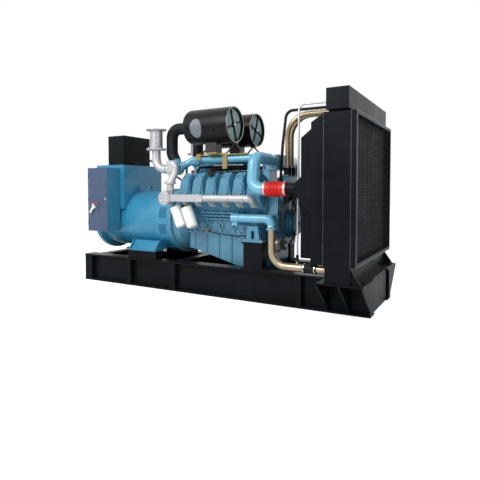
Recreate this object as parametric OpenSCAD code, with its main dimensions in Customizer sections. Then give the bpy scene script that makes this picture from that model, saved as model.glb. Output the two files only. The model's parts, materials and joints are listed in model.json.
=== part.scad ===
// Diesel generator set: V12 engine, alternator and radiator on one steel skid.
// Origin: middle of the skid, on the ground. +X runs to the radiator, -Y to the terminal box side.

/* [Skid] */
// Length of the skid
skid_l = 3600; // [3560:20:3700]
// Width over the two rails
skid_w = 900; // [880:10:920]
// Height of the rails
skid_h = 328; // [320:2:336]
// Width of a rail flange
rail_flange_w = 150; // [130:5:160]
// Thickness of a rail flange
rail_flange_t = 18; // [12:1:24]
// Thickness of a rail web
rail_web_t = 12; // [8:1:16]
// Depth of the web behind the outer flange edge
rail_web_in = 62; // [50:2:75]
// Width of the upright straps on a rail
strap_w = 76; // [50:2:100]
// Recess of a strap behind the flange edge
strap_in = 6; // [3:1:12]
// Depth of a cross beam along the skid
cross_w = 110; // [90:5:140]
// Plate thickness of a cross beam
cross_t = 14; // [10:1:20]
// Length of the outriggers that carry the radiator
outrigger_l = 412; // [390:2:440]
// Reach of an outrigger beyond the rail
outrigger_reach = 285; // [270:5:290]
// Plate thickness of an outrigger
outrigger_t = 14; // [10:1:18]
// Height at which the outrigger gussets meet the rail
gusset_foot_h = 54; // [40:2:80]

/* [Alternator] */
// Height of the crank and alternator axis above the ground
axis_h = 780; // [770:2:790]
// Distance of the alternator end cover from the skid end
gen_setback = 105; // [95:5:120]
// Length of the end cover
bell_l = 100; // [80:5:120]
// Radius of the end cover
bell_r = 397; // [385:1:405]
// Length of the round frame
frame_l = 895; // [880:5:920]
// Radius of the round frame
frame_r = 345; // [338:1:350]
// Length of the louvred adaptor ring
adaptor_l = 192; // [170:2:210]
// Radius of the adaptor ring
adaptor_r = 375; // [360:1:385]
// Length of the square top casing
casing_l = 455; // [430:5:470]
// Width of the top casing
casing_w = 720; // [700:5:730]
// Height of the casing roof above the ground
casing_top_h = 1448; // [1430:2:1470]
// Height of the casing's lower edge above the ground
casing_foot_h = 906; // [890:2:930]
// Length of the terminal box
terminal_l = 328; // [300:4:350]
// Depth of the terminal box
terminal_d = 208; // [180:4:220]
// Height of the terminal box
terminal_h = 765; // [740:5:780]
// Drop of the terminal box roof below the casing roof
terminal_drop = 43; // [30:1:60]
// Length of the control box
control_l = 270; // [240:5:290]
// Width of the control box
control_w = 484; // [440:4:520]
// Height of the control box
control_h = 375; // [340:5:400]
// Height of the plinths under the alternator feet
plinth_h = 93; // [80:1:100]
// Length of an alternator foot
foot_l = 405; // [380:5:420]

/* [Engine] */
// Length of the flywheel housing
flywheel_l = 188; // [170:2:200]
// Radius of the flywheel housing flange
flywheel_r = 388; // [380:1:395]
// Number of cylinders in a bank
cyl_n = 6; // [5:1:6]
// Distance between two cylinders of a bank
cyl_pitch = 169; // [165:0.5:171]
// Width of the crankcase at the pan rail
block_w = 500; // [480:5:520]
// Distance of the head joint from the crank axis
deck_h = 390; // [380:1:400]
// Height of a cylinder head
head_h = 115; // [105:1:120]
// Width of a cylinder head across the bank
head_w = 290; // [270:2:300]
// Height of a rocker cover
cover_h = 140; // [130:1:148]
// Depth of the oil pan at the flywheel end
pan_rear_h = 175; // [160:5:200]
// Depth of the oil pan at the sump
pan_sump_h = 385; // [360:5:400]
// Length of the gear case
gear_l = 105; // [90:5:120]
// Radius of the exhaust manifold log
manifold_r = 39; // [34:1:44]
// Radius of the exhaust bend to the outlet
exhaust_r = 49; // [44:1:55]
// Radius of the bellows
bellows_r = 74; // [70:1:80]
// Length of the exhaust outlet piece
outlet_l = 234; // [220:2:250]
// Radius of the exhaust outlet flange
outlet_flange_r = 118; // [112:1:125]
// Number of bolt holes in the outlet flange
outlet_bolt_n = 8; // [6:2:12]
// Bolt circle radius of the outlet flange
outlet_bolt_r = 100; // [97:1:105]
// Bore of the exhaust outlet
outlet_bore_r = 62; // [55:1:66]
// Radius of a charge air pipe
charge_r = 62; // [56:1:66]
// Radius of an oil filter
filter_r = 62; // [56:1:64]
// Length of an oil filter
filter_l = 235; // [220:5:250]
// Radius of an air cleaner
cleaner_r = 193; // [185:1:200]
// Length of an air cleaner
cleaner_l = 596; // [570:2:620]
// Height of the air cleaner axis above the ground
cleaner_axis_h = 1840; // [1820:5:1860]
// Distance between the two air cleaner axes
cleaner_gap = 524; // [500:4:560]
// Radius of the rubber intake elbow
intake_r = 66; // [60:1:72]

/* [Drive] */
// Groove radius of the crank pulley
crank_pulley_r = 117; // [110:1:122]
// Radius of the vibration damper
damper_r = 150; // [140:1:160]
// Groove radius of the fan pulley
fan_pulley_r = 110; // [104:1:116]
// Groove radius of the pump pulley
pump_pulley_r = 75; // [70:1:80]
// Groove radius of the charging alternator pulley
charging_pulley_r = 42; // [38:1:46]
// Width of a belt
belt_w = 18; // [14:1:20]
// Thickness of a belt
belt_t = 9; // [7:1:12]
// Height of the fan axis above the ground
fan_h = 1069; // [1060:1:1080]
// Radius of the fan
fan_r = 460; // [440:5:465]
// Number of fan blades
fan_n = 8; // [6:1:10]

/* [Radiator] */
// Distance of the grille from the skid end
grille_setback = 63; // [55:1:75]
// Width over the radiator side panels
radiator_w = 1424; // [1400:4:1440]
// Height of the core's lower edge above the ground
core_foot_h = 480; // [470:2:500]
// Height of the side panels' top above the ground
core_top_h = 1808; // [1790:2:1820]
// Depth of the side panels
panel_d = 243; // [230:1:260]
// Depth of the grille frame
guard_d = 51; // [45:1:60]
// Length of the header tank across the set
header_w = 1484; // [1480:2:1500]
// Depth of the header tank
header_d = 199; // [190:1:210]
// Height of the header tank
header_h = 183; // [170:1:195]
// Sheet thickness of the fan shroud
shroud_t = 4; // [3:0.5:6]
// Width of the shroud behind the fan
shroud_w = 1120; // [1100:5:1140]
// Depth of the shroud's fan box
shroud_d = 145; // [130:1:155]
// Depth of the charge air cooler tanks
cooler_d = 118; // [110:1:150]
// Gap between the fan and its ring
fan_gap = 20; // [12:1:30]
// Radius of the upper coolant pipe
coolant_r = 26; // [22:1:30]
// Radius of the lower coolant pipe
lower_pipe_r = 38; // [34:1:42]
// Radius of the vent pipe
vent_r = 10; // [8:1:14]

/* [Hidden] */
$fn = 48;
// Gap between a turning piece and what it turns in
run_gap = 0.5;
// Gap between a belt and its pulleys
belt_gap = 1;
// Seat gap of a piece that lies on a round or slanted one
seat = 0.3;

black = "#1e2022";
gen_blue = "#35789a";
engine_blue = "#5a97b2";
panel_grey = "#5a6f8f";
silver = "#c4c6ca";
rubber = "#202124";

// Places along the set, from the alternator end to the radiator
gen_x = -skid_l / 2 + gen_setback;
frame_x = gen_x + bell_l;
adaptor_x = frame_x + frame_l;
flywheel_x = adaptor_x + adaptor_l;
block_x = flywheel_x + flywheel_l;
block_margin = 100;
cyl_x = block_x + block_margin;
block_end = cyl_x + (cyl_n - 1) * cyl_pitch + block_margin + 10;
gear_end = block_end + gear_l;
belt_x = gear_end + 42;
belt_step = belt_w + 5;
grille_x = skid_l / 2 - grille_setback;
guard_x = grille_x - guard_d;
panel_x = guard_x - panel_d;
header_x = panel_x + 33;
cooler_x = panel_x - cooler_d;
shroud_x = cooler_x - shroud_d;
ring_x = shroud_x - 44;

// Heights and half widths shared by several pieces
rail_in = skid_w / 2 - rail_flange_w;
deck_top = skid_h;
plinth_top = deck_top + plinth_h;
pan_top = axis_h - 130;
head_out = head_w / 2;
half_gap = cleaner_gap / 2;
header_foot = core_top_h + 15;
bell_back_r = 190;
casing_x = gen_x + 28;
terminal_x = casing_x + 67;
control_x = casing_x + casing_l - control_l - 101;

module both_sides() {
    children();
    mirror([0, 1, 0]) children();
}
module extrude_x(x0, x1) {
    translate([x0, 0, 0]) rotate([90, 0, 90]) linear_extrude(x1 - x0) children();
}
module extrude_y(y0, y1) {
    translate([0, y1, 0]) rotate([90, 0, 0]) linear_extrude(y1 - y0) children();
}
module x_cylinder(x0, x1, r, y = 0, z = axis_h) {
    translate([x0, y, z]) rotate([0, 90, 0]) cylinder(h = x1 - x0, r = r);
}
// Turns a profile of radius and distance along X about an axis at height z
module x_turned(x0, y = 0, z = axis_h) {
    translate([x0, y, z]) rotate([0, 90, 0]) rotate_extrude($fn = 96) children();
}
module block(x0, x1, y0, y1, z0, z1) {
    translate([x0, y0, z0]) cube([x1 - x0, y1 - y0, z1 - z0]);
}
// Local frame of the near bank: z runs outward along the cylinders, y inward and up
module near_bank() {
    translate([0, 0, axis_h]) rotate([45, 0, 0]) children();
}

function unit(v) = v / norm(v);
function square_to(v) = unit(cross(v, abs(v.z) < 0.9 ? [0, 0, 1] : [1, 0, 0]));
module set_frame(o, x, y, z) {
    multmatrix([[x.x, y.x, z.x, o.x], [x.y, y.y, z.y, o.y], [x.z, y.z, z.z, o.z], [0, 0, 0, 1]])
        children();
}
module rod(a, b, r) {
    d = unit(b - a);
    s = square_to(d);
    set_frame(a, s, cross(d, s), d) cylinder(h = norm(b - a), r = r);
}
// Pipe through the corners pts, each rounded to the bend radius
module pipe_run(pts, bend, r) {
    n = len(pts);
    way = [for (i = [0:n - 2]) unit(pts[i + 1] - pts[i])];
    cut = [for (i = [0:n - 1]) i == 0 || i == n - 1 ? 0 : bend * tan(acos(way[i - 1] * way[i]) / 2)];
    side = square_to(way[0]);
    set_frame(pts[0], side, cross(way[0], side), way[0])
        pipe_part(pts, way, cut, bend, r, 0, side, cross(way[0], side));
}
// Straight stretch i of a pipe along z, then its bend towards the next stretch and all that follows.
// Each bend is a hair wider than the straights, which reach a little way into it.
bend_lap = 3;
bend_swell = 0.4;
module pipe_part(pts, way, cut, bend, r, i, x, y) {
    h = norm(pts[i + 1] - pts[i]) - cut[i] - cut[i + 1];
    last = i == len(way) - 1;
    start = i == 0 ? 0 : -bend_lap;
    translate([0, 0, start]) cylinder(h = h - start + (last ? 0 : bend_lap), r = r);
    if (!last) {
        turn = acos(way[i] * way[i + 1]);
        roll = atan2(way[i + 1] * y, way[i + 1] * x);
        bend_x = x * cos(roll) + y * sin(roll);
        bend_y = y * cos(roll) - x * sin(roll);
        translate([0, 0, h]) rotate([0, 0, roll]) {
            translate([bend, 0, 0]) rotate([90, 0, 180])
                rotate_extrude(angle = turn) translate([bend, 0]) circle(r + bend_swell);
            translate([bend, 0, 0]) rotate([0, turn, 0]) translate([-bend, 0, 0])
                pipe_part(pts, way, cut, bend, r, i + 1, bend_x * cos(turn) - way[i] * sin(turn), bend_y);
        }
    }
}

// Straps stand over the cross beams, and a wide one closes each rail's alternator end
strap_at = [729, 1392, 2902];
end_strap_w = 115;
web_out = -skid_w / 2 + rail_web_in;
module rail_section() {
    translate([-skid_w / 2, 0]) square([rail_flange_w, rail_flange_t]);
    translate([-skid_w / 2, skid_h - rail_flange_t]) square([rail_flange_w, rail_flange_t]);
    translate([web_out, rail_flange_t]) square([rail_web_t, skid_h - 2 * rail_flange_t]);
}
module rail_strap(x0, w) {
    block(x0, x0 + w, -skid_w / 2 + strap_in, web_out, rail_flange_t, skid_h - rail_flange_t);
}
module skid_rail() {
    color(black) {
        extrude_x(-skid_l / 2, skid_l / 2) rail_section();
        for (at = strap_at) rail_strap(at - skid_l / 2 - strap_w / 2, strap_w);
        rail_strap(-skid_l / 2, end_strap_w);
    }
}
module skid_rail_near() {
    skid_rail();
}
module skid_rail_far() {
    mirror([0, 1, 0]) skid_rail();
}

// Channel across the skid, web on the side that dir points to
module cross_channel(x0, dir) {
    web = dir > 0 ? x0 + cross_w - cross_t : x0;
    block(x0, x0 + cross_w, -rail_in, rail_in, 0, cross_t);
    block(x0, x0 + cross_w, -rail_in, rail_in, skid_h - cross_t, skid_h);
    block(web, web + cross_t, -rail_in, rail_in, cross_t, skid_h - cross_t);
}
module skid_cross_beams() {
    color(black) {
        cross_channel(-skid_l / 2 + end_strap_w, -1);
        for (at = strap_at) cross_channel(at - skid_l / 2 - cross_w / 2, 1);
        cross_channel(skid_l / 2 - cross_w - 20, 1);
    }
}

module gusset_outline() {
    reach = -skid_w / 2 - outrigger_reach;
    polygon([[reach, skid_h - outrigger_t], [-skid_w / 2, skid_h - outrigger_t],
        [-skid_w / 2, skid_h - rail_flange_t], [web_out, skid_h - rail_flange_t],
        [web_out, rail_flange_t], [-skid_w / 2, rail_flange_t],
        [-skid_w / 2, gusset_foot_h], [reach, skid_h - outrigger_t - 12]]);
}
module outriggers() {
    x0 = skid_l / 2 - outrigger_l;
    step = (outrigger_l - outrigger_t) / 2;
    color(black) both_sides() {
        block(x0, skid_l / 2, -skid_w / 2 - outrigger_reach, -skid_w / 2, skid_h - outrigger_t, skid_h);
        for (i = [0:2])
            extrude_x(x0 + i * step, x0 + i * step + outrigger_t) gusset_outline();
    }
}

foot_x = adaptor_x - foot_l + 35;
foot_out = 430;
plinth_cap = 12;
module alternator_plinths() {
    color(black) both_sides() {
        block(foot_x - 22, foot_x + foot_l + 22, -foot_out - 15, -rail_in, plinth_top - plinth_cap, plinth_top);
        block(foot_x - 10, foot_x + foot_l + 10, -foot_out, -rail_in, deck_top, plinth_top - plinth_cap);
    }
}

// Engine mounts: one pedestal on each rail, one bracket on each side of the crankcase
mount_x = block_x + 924;
mount_w = 244;
pedestal_h = 277;
pedestal_out = 440;
pedestal_d = 140;
module engine_pedestals() {
    x0 = mount_x - mount_w / 2;
    cap = 15;
    color(black) both_sides() {
        block(x0, x0 + mount_w, -pedestal_out, -pedestal_out + pedestal_d, deck_top, deck_top + cap);
        block(x0, x0 + mount_w, -pedestal_out, -pedestal_out + pedestal_d,
            deck_top + pedestal_h - cap, deck_top + pedestal_h);
        block(x0 + 22, x0 + mount_w - 12, -pedestal_out + 8, -pedestal_out + pedestal_d - 8,
            deck_top + cap, deck_top + pedestal_h - cap);
    }
}
module engine_mounts() {
    base = deck_top + pedestal_h;
    top = base + 165;
    slot_w = 36;
    color(engine_blue) both_sides() {
        block(mount_x - mount_w / 2 + 8, mount_x + mount_w / 2 - 4, -pedestal_out + 4,
            -pedestal_out + pedestal_d, base, base + 16);
        difference() {
            extrude_y(-pedestal_out + 20, -block_w / 2 - seat) polygon([[mount_x - 75, base + 16],
                [mount_x + 75, base + 16], [mount_x + 62, top], [mount_x - 62, top]]);
            block(mount_x - slot_w / 2, mount_x + slot_w / 2, -skid_w / 2, 0, base + 34, base + 100);
            translate([mount_x, 0, base + 100]) rotate([90, 0, 0]) cylinder(h = skid_w / 2, r = slot_w / 2);
        }
    }
}

// Alternator
rib_w = 22;
module alternator_frame() {
    rib_r = frame_r + 16;
    lug_x = casing_x + casing_l + 116;
    lug_top = axis_h + frame_r + 78;
    color(gen_blue) {
        x_cylinder(frame_x, adaptor_x, frame_r);
        x_cylinder(adaptor_x - rib_w, adaptor_x, rib_r);
        difference() {
            extrude_x(lug_x - 14, lug_x + 14) polygon([[-52, axis_h + frame_r - 20], [52, axis_h + frame_r - 20],
                [34, lug_top], [-34, lug_top]]);
            x_cylinder(lug_x - 20, lug_x + 20, 17, 0, lug_top - 32);
        }
    }
}
module alternator_end_cover() {
    color(gen_blue) x_turned(gen_x) polygon([[0, -30], [bell_back_r - 20, -30], [bell_back_r, -12],
        [bell_back_r, 0], [bell_r - 14, 0], [bell_r, 14], [bell_r, 62], [frame_r, bell_l], [0, bell_l]]);
}
module alternator_casing() {
    color(gen_blue) difference() {
        block(casing_x, casing_x + casing_l, -casing_w / 2, casing_w / 2, casing_foot_h, casing_top_h);
        x_cylinder(casing_x - 1, casing_x + casing_l + 1, frame_r + seat);
        x_cylinder(casing_x - 1, frame_x + seat, bell_r + seat);
    }
}
terminal_out = -casing_w / 2 - terminal_d;
terminal_top = casing_top_h - terminal_drop;
terminal_foot = terminal_top - terminal_h;
breaker_x = terminal_x + 120;
breaker_z = terminal_foot + 292;
plate_w = 120;
plate_h = 120;
plate_t = 8;
module terminal_box() {
    color(panel_grey) block(terminal_x, terminal_x + terminal_l, terminal_out, -casing_w / 2,
        terminal_foot, terminal_top);
    color("#d8d8d8") block(breaker_x - plate_w / 2, breaker_x + plate_w / 2, terminal_out - plate_t,
        terminal_out, breaker_z - plate_h / 2, breaker_z + plate_h / 2);
}
// Lever of the circuit breaker, turning about an axis square to the terminal box door
module breaker_handle() {
    hub_r = 20;
    lever_l = 88;
    lever_w = 22;
    lever_t = 16;
    // the stub of the lever behind its hub is this much slimmer on both faces
    stub_step = 2;
    drop = 52;
    front = terminal_out - plate_t;
    color("#e8e8e8") {
        translate([breaker_x, front - seat, breaker_z]) rotate([90, 0, 0]) cylinder(h = 26, r = hub_r);
        translate([breaker_x, front - 14, breaker_z]) {
            block(-lever_w / 2, lever_w / 2, stub_step - lever_t, -stub_step, 0, 2 * hub_r);
            rotate([0, -drop, 0]) block(-lever_l, 0, -lever_t, 0, -lever_w / 2, lever_w / 2);
        }
    }
}
module control_box() {
    color(black) block(control_x, control_x + control_l, -control_w / 2, control_w / 2,
        casing_top_h, casing_top_h + control_h);
}
// Foot: a base flange, an upright gusset at each end and a slanted web set back between them
module alternator_feet() {
    flange_t = 18;
    gusset_t = 16;
    set_back = 22;
    rise = 125;
    base = plinth_top + flange_t;
    brow = -frame_r;
    color(gen_blue) both_sides() difference() {
        union() {
            block(foot_x, foot_x + foot_l, -foot_out, -rail_in + 20, plinth_top, base);
            for (x = [foot_x, foot_x + foot_l - gusset_t])
                extrude_x(x, x + gusset_t) polygon([[-foot_out + 8, base], [-foot_out + 8, base + 12],
                    [brow, plinth_top + rise], [-200, plinth_top + rise], [-200, base]]);
            extrude_x(foot_x + gusset_t, foot_x + foot_l - gusset_t) polygon([[-foot_out + 8 + set_back, base],
                [brow + set_back, plinth_top + rise - 12], [-200, plinth_top + rise - 12], [-200, base]]);
        }
        x_cylinder(foot_x - 1, foot_x + foot_l + 1, frame_r + seat);
        x_cylinder(adaptor_x - rib_w - seat, foot_x + foot_l + 1, adaptor_r + seat);
    }
}
module adaptor_ring() {
    window_n = 12;
    window_w = 112;
    window_d = 14;
    bar_n = 7;
    slot = window_w / (2 * bar_n);
    color(gen_blue) difference() {
        x_cylinder(adaptor_x, flywheel_x, adaptor_r);
        for (i = [0:window_n - 1])
            translate([0, 0, axis_h]) rotate([i * 360 / window_n + 15, 0, 0])
                for (k = [0:bar_n - 1])
                    block(adaptor_x + 40 + 2 * k * slot, adaptor_x + 40 + (2 * k + 1) * slot, -62, 62,
                        adaptor_r - window_d, adaptor_r + 10);
    }
}

// Engine
module flywheel_housing() {
    color(engine_blue) x_turned(flywheel_x) polygon([[0, 0], [flywheel_r, 0], [flywheel_r, 34],
        [flywheel_r - 26, 44], [flywheel_r - 45, flywheel_l - 70], [flywheel_r - 110, flywheel_l], [0, flywheel_l]]);
}
skirt = block_w / 2 - 15;
function bank_point(u, v) = [-(u + v) * sin(45), axis_h + (u - v) * sin(45)];
rib_out = skirt + 14;
vee_z = axis_h + 250;
filter_y = -451;
filter_top = axis_h + 168;
module crankcase_outline() {
    foot = block_w / 2;
    deck_out = bank_point(deck_h, head_out);
    deck_in = bank_point(deck_h, -head_out);
    polygon([[-foot, pan_top], [-foot, pan_top + 22], [-skirt, pan_top + 22], [-skirt, axis_h + 40],
        deck_out, deck_in, [0, vee_z], [-deck_in.x, deck_in.y], [-deck_out.x, deck_out.y],
        [skirt, axis_h + 40], [skirt, pan_top + 22], [foot, pan_top + 22], [foot, pan_top]]);
}
module crankcase() {
    deck_out = bank_point(deck_h, head_out);
    color(engine_blue) {
        extrude_x(block_x, block_end) crankcase_outline();
        both_sides() for (i = [0:cyl_n - 1])
            translate([cyl_x + i * cyl_pitch, 0, 0]) extrude_x(-9, 9) polygon([[-skirt + 20, pan_top + 10],
                [-rib_out, pan_top + 10], [-rib_out, axis_h + 32], [deck_out.x + 14, deck_out.y - 29],
                [deck_out.x + 60, deck_out.y - 10], [-skirt + 20, axis_h + 50]]);
        block(block_x + 5, block_x + 190, filter_y + filter_r + seat, -skirt + 20,
            filter_top - 80, filter_top - 4);
    }
}
module oil_pan() {
    sump_x = block_x + 840;
    pan_w = block_w - 20;
    rib_n = 5;
    rib_step = 160;
    slope = (pan_sump_h - pan_rear_h) / (sump_x - block_x - 60);
    color(engine_blue) {
        extrude_y(-pan_w / 2, pan_w / 2) polygon([[block_x + 20, pan_top], [block_x + 20, pan_top - pan_rear_h],
            [block_x + 60, pan_top - pan_rear_h], [sump_x, pan_top - pan_sump_h],
            [block_end - 60, pan_top - pan_sump_h], [block_end - 20, pan_top - pan_sump_h + 120],
            [block_end - 20, pan_top]]);
        both_sides() for (i = [0:rib_n - 1]) {
            x = block_x + 90 + i * rib_step;
            depth = min(pan_sump_h, pan_rear_h + slope * (x - block_x - 60));
            translate([x, -pan_w / 2, pan_top - depth + 12]) cylinder(h = depth - 24, r = 13);
        }
    }
}
head_gap = 6;
module cylinder_heads() {
    color(engine_blue) both_sides() near_bank()
        for (i = [0:cyl_n - 1])
            translate([cyl_x + (i - 0.5) * cyl_pitch + head_gap / 2, -head_out, deck_h])
                cube([cyl_pitch - head_gap, head_w, head_h]);
}
// Rocker cover: its outer face stands nearly upright and carries a raised octagon
module rocker_cover() {
    l = cyl_pitch - 16;
    outer = head_out - 20;
    inner = head_out - 5;
    lip = 18;
    ridge = 5;
    shoulder = 26;
    pad_mid = 85;
    pad_t = 12;
    intersection() {
        extrude_x(-l / 2, l / 2) polygon([[-outer, 0], [-outer, lip], [ridge, cover_h], [inner - 18, cover_h],
            [inner, cover_h * 0.4], [inner, 0]]);
        extrude_y(-outer - 1, inner + 1) polygon([[-l / 2, 0], [-l / 2, cover_h * 0.3],
            [-l / 2 + shoulder, cover_h], [l / 2 - shoulder, cover_h], [l / 2, cover_h * 0.3], [l / 2, 0]]);
    }
    translate([0, -outer, lip]) rotate([atan2(cover_h - lip, outer + ridge), 0, 0])
        translate([0, pad_mid, -2]) linear_extrude(pad_t + 2) octagon(104, 130, 28);
}
// Octagon of width w and height h about the middle, its corners cut by c
module octagon(w, h, c) {
    polygon([[-w / 2 + c, -h / 2], [w / 2 - c, -h / 2], [w / 2, -h / 2 + c], [w / 2, h / 2 - c],
        [w / 2 - c, h / 2], [-w / 2 + c, h / 2], [-w / 2, h / 2 - c], [-w / 2, -h / 2 + c]]);
}
module rocker_covers() {
    color(engine_blue) {
        both_sides() near_bank()
            for (i = [0:cyl_n - 1])
                translate([cyl_x + i * cyl_pitch, 0, deck_h + head_h]) rocker_cover();
        oil_filler();
    }
}
// Oil filler on the near bank: a stem out of the first cover with a wide cap
module oil_filler() {
    stem_r = 17;
    cap_r = 64;
    cap_t = 40;
    foot = deck_h + head_h + cover_h - 58;
    stem = bank_point(foot, -127);
    translate([cyl_x + 58, stem.x, stem.y]) {
        cylinder(h = 105, r = stem_r);
        translate([0, 0, 105]) cylinder(h = 35, r1 = stem_r, r2 = cap_r);
        translate([0, 0, 140]) cylinder(h = cap_t, r = cap_r);
    }
}

// Exhaust: a log beside each bank, boxed over the first cylinders, with a turbocharger at its rear end
log_y = -505;
log_z = axis_h + 270;
port_z = axis_h + 205;
shield_end = cyl_x + 1.7 * cyl_pitch;
turbo_x = block_x - 122;
turbo_z = axis_h + 607;
turbo_y = -400;
neck_x = turbo_x + 39;
neck_y = log_y + 30;
neck_z = log_z + 80;
neck_r = 40;
module exhaust_port(x) {
    near_bank() translate([x, -head_out - 14, deck_h + head_h / 2])
        block(-38, 38, 0, 14 - seat, -38, 38);
    rod([x, log_y, log_z], [x, -432, port_z + 4], 27);
}
module exhaust_manifolds() {
    elbow_x = block_x - 108;
    last_x = cyl_x + (cyl_n - 1) * cyl_pitch;
    ring_l = 18;
    color(silver) both_sides() {
        difference() {
            union() {
                block(elbow_x + 60, shield_end, log_y - 46, log_y + 46, log_z - 38, log_z + 40);
                pipe_run([[shield_end, log_y, log_z], [last_x, log_y, log_z], [last_x, -432, port_z + 4]], 45,
                    manifold_r);
                for (i = [2:cyl_n - 2]) {
                    x = cyl_x + (i + 0.5) * cyl_pitch;
                    x_cylinder(x - ring_l / 2, x + ring_l / 2, manifold_r + 5, log_y, log_z);
                }
                for (i = [0:cyl_n - 1]) exhaust_port(cyl_x + i * cyl_pitch);
            }
            near_bank() translate([block_x, -head_out - seat, deck_h])
                cube([block_end - block_x + 200, head_w, head_h + cover_h]);
        }
        translate([elbow_x, log_y + 55, log_z]) rotate([90, 0, 0])
            rotate([0, 0, 22.5]) cylinder(h = 110, r = 82, $fn = 8);
        rod([neck_x, neck_y, log_z], [neck_x, neck_y, neck_z], neck_r);
    }
}
scroll_r = 54;
tube_r = 35;
top_pipe_r = 41;
top_pipe_y = -190;
top_pipe_z = axis_h + 700;
outlet_x = block_x - 340;
outlet_z = axis_h + 819;
// Compressor behind each turbine, its horn towards the charge rail and its inlet towards the rubber elbow
compressor = [turbo_x, turbo_y + 135, turbo_z];
rail_start = [block_x + 30, top_pipe_y, top_pipe_z];
horn_end = compressor + 105 * unit(rail_start - compressor);
elbow_low = [turbo_x - 94, turbo_y + 135, turbo_z + 173];
inlet_end = compressor + 100 * unit(elbow_low - compressor);
module turbochargers() {
    leg_z = axis_h + 430;
    color(silver) both_sides() {
        translate([turbo_x, turbo_y, turbo_z]) rotate([90, 0, 0])
            rotate_extrude() translate([scroll_r, 0]) circle(tube_r);
        translate([turbo_x, turbo_y + 45, turbo_z]) rotate([90, 0, 0]) cylinder(h = 90, r = scroll_r);
        pipe_run([[turbo_x + 50, turbo_y, turbo_z + 3], [turbo_x + 50, turbo_y - 5, turbo_z - 57],
            [neck_x, neck_y, leg_z], [neck_x, neck_y, neck_z]], 45, neck_r);
        rod([neck_x, neck_y, leg_z - 4], [neck_x, neck_y, leg_z + 16], 62);
        rod([neck_x, neck_y, neck_z], [neck_x, neck_y, neck_z + 14], 56);
        pipe_run([[outlet_x, turbo_y, outlet_z], [outlet_x, turbo_y, turbo_z - 10],
            [turbo_x - 20, turbo_y, turbo_z - 10]], 120, exhaust_r);
        rod([turbo_x, turbo_y + 45, turbo_z], compressor, 32);
        translate(compressor) rotate([90, 0, 0]) rotate_extrude() translate([50, 0]) circle(28);
        translate(compressor + [0, 28, 0]) rotate([90, 0, 0]) cylinder(h = 56, r = 50);
        rod(compressor, horn_end, top_pipe_r + 3);
        rod(compressor, inlet_end, 60);
    }
}
module exhaust_outlets() {
    flange_t = 12;
    top = outlet_z + outlet_l;
    wave_n = 9;
    wave = (outlet_l - 3 * flange_t) / wave_n;
    color(silver) both_sides() translate([outlet_x, turbo_y, outlet_z]) difference() {
        union() {
            cylinder(h = flange_t, r = outlet_flange_r - 4);
            cylinder(h = outlet_l, r = bellows_r - 5);
            for (i = [0:wave_n - 1])
                translate([0, 0, 1.5 * flange_t + i * wave]) cylinder(h = wave * 0.6, r = bellows_r);
            translate([0, 0, outlet_l - flange_t]) cylinder(h = flange_t, r = outlet_flange_r);
        }
        translate([0, 0, flange_t]) cylinder(h = outlet_l, r = outlet_bore_r);
        for (i = [0:outlet_bolt_n - 1])
            rotate([0, 0, (i + 0.5) * 360 / outlet_bolt_n]) translate([outlet_bolt_r, 0, outlet_l - flange_t - 1])
                cylinder(h = flange_t + 2, r = 8);
    }
}

// Charge air: compressor to cooler and back, over the banks
hose_y = -550;
hose_z = axis_h + 368;
elbow_back = 128;
box_l = 130;
hose_x = block_end + 65;
hose_l = 243;
module charge_pipes() {
    box_x = block_end - 95;
    feed_l = 85;
    color(engine_blue) {
        both_sides() {
            pipe_run([horn_end, rail_start, [box_x + 5, top_pipe_y, top_pipe_z]], 60, top_pipe_r);
            pipe_run([[hose_x, hose_y, hose_z], [hose_x - elbow_back, hose_y, hose_z],
                [hose_x - elbow_back, hose_y + 40, top_pipe_z - 15], [hose_x - 70, -178, top_pipe_z - 30]], 95,
                charge_r);
        }
        block(box_x, box_x + box_l, -180, 180, top_pipe_z - 130, top_pipe_z + 30);
        block(box_x - feed_l, box_x, -100, 100, gear_top - 75, top_pipe_z - 60);
    }
}
module charge_hoses() {
    rib_step = 34;
    color("#e0352b") both_sides() {
        x_cylinder(hose_x, hose_x + hose_l, charge_r + 6, hose_y, hose_z);
        for (i = [0:2])
            translate([hose_x + hose_l / 2 + (i - 1) * rib_step, hose_y, hose_z]) rotate([0, 90, 0])
                rotate_extrude() translate([charge_r + 6, 0]) circle(9);
    }
}
// Duct that widens onto the cooler box, its inner side cut off along the shroud
module charge_ducts() {
    x0 = hose_x + hose_l;
    throat = 85;
    mouth_h = 392;
    mouth_z = hose_z - 8;
    mouth_out = shroud_box_w / 2;
    color(black) both_sides() difference() {
        union() {
            x_cylinder(x0, x0 + throat, charge_r - 2, hose_y, hose_z);
            hull() {
                x_cylinder(x0 + throat - 4, x0 + throat, charge_r - 2, hose_y, hose_z, $fn = 32);
                block(cooler_x - 6, cooler_x, -mouth_out, -shroud_w / 2 - seat, mouth_z - mouth_h / 2,
                    mouth_z + mouth_h / 2);
            }
        }
        block(shroud_x - seat, cooler_x + 1, -shroud_w / 2 - seat, 0, hose_z - mouth_h, hose_z + mouth_h);
    }
}

// Two oil filters hang at a slant beside their head on the near side of the crankcase
filter_lean = 22;
module oil_filters() {
    color("#f2f2ee") for (i = [0:1])
        translate([block_x - 30 + i * 150, filter_y, filter_top]) rotate([0, 180 - filter_lean, 0]) {
            cylinder(h = filter_l - 18, r = filter_r);
            translate([0, 0, filter_l - 18]) cylinder(h = 18, r1 = filter_r, r2 = filter_r - 16);
        }
}

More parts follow.
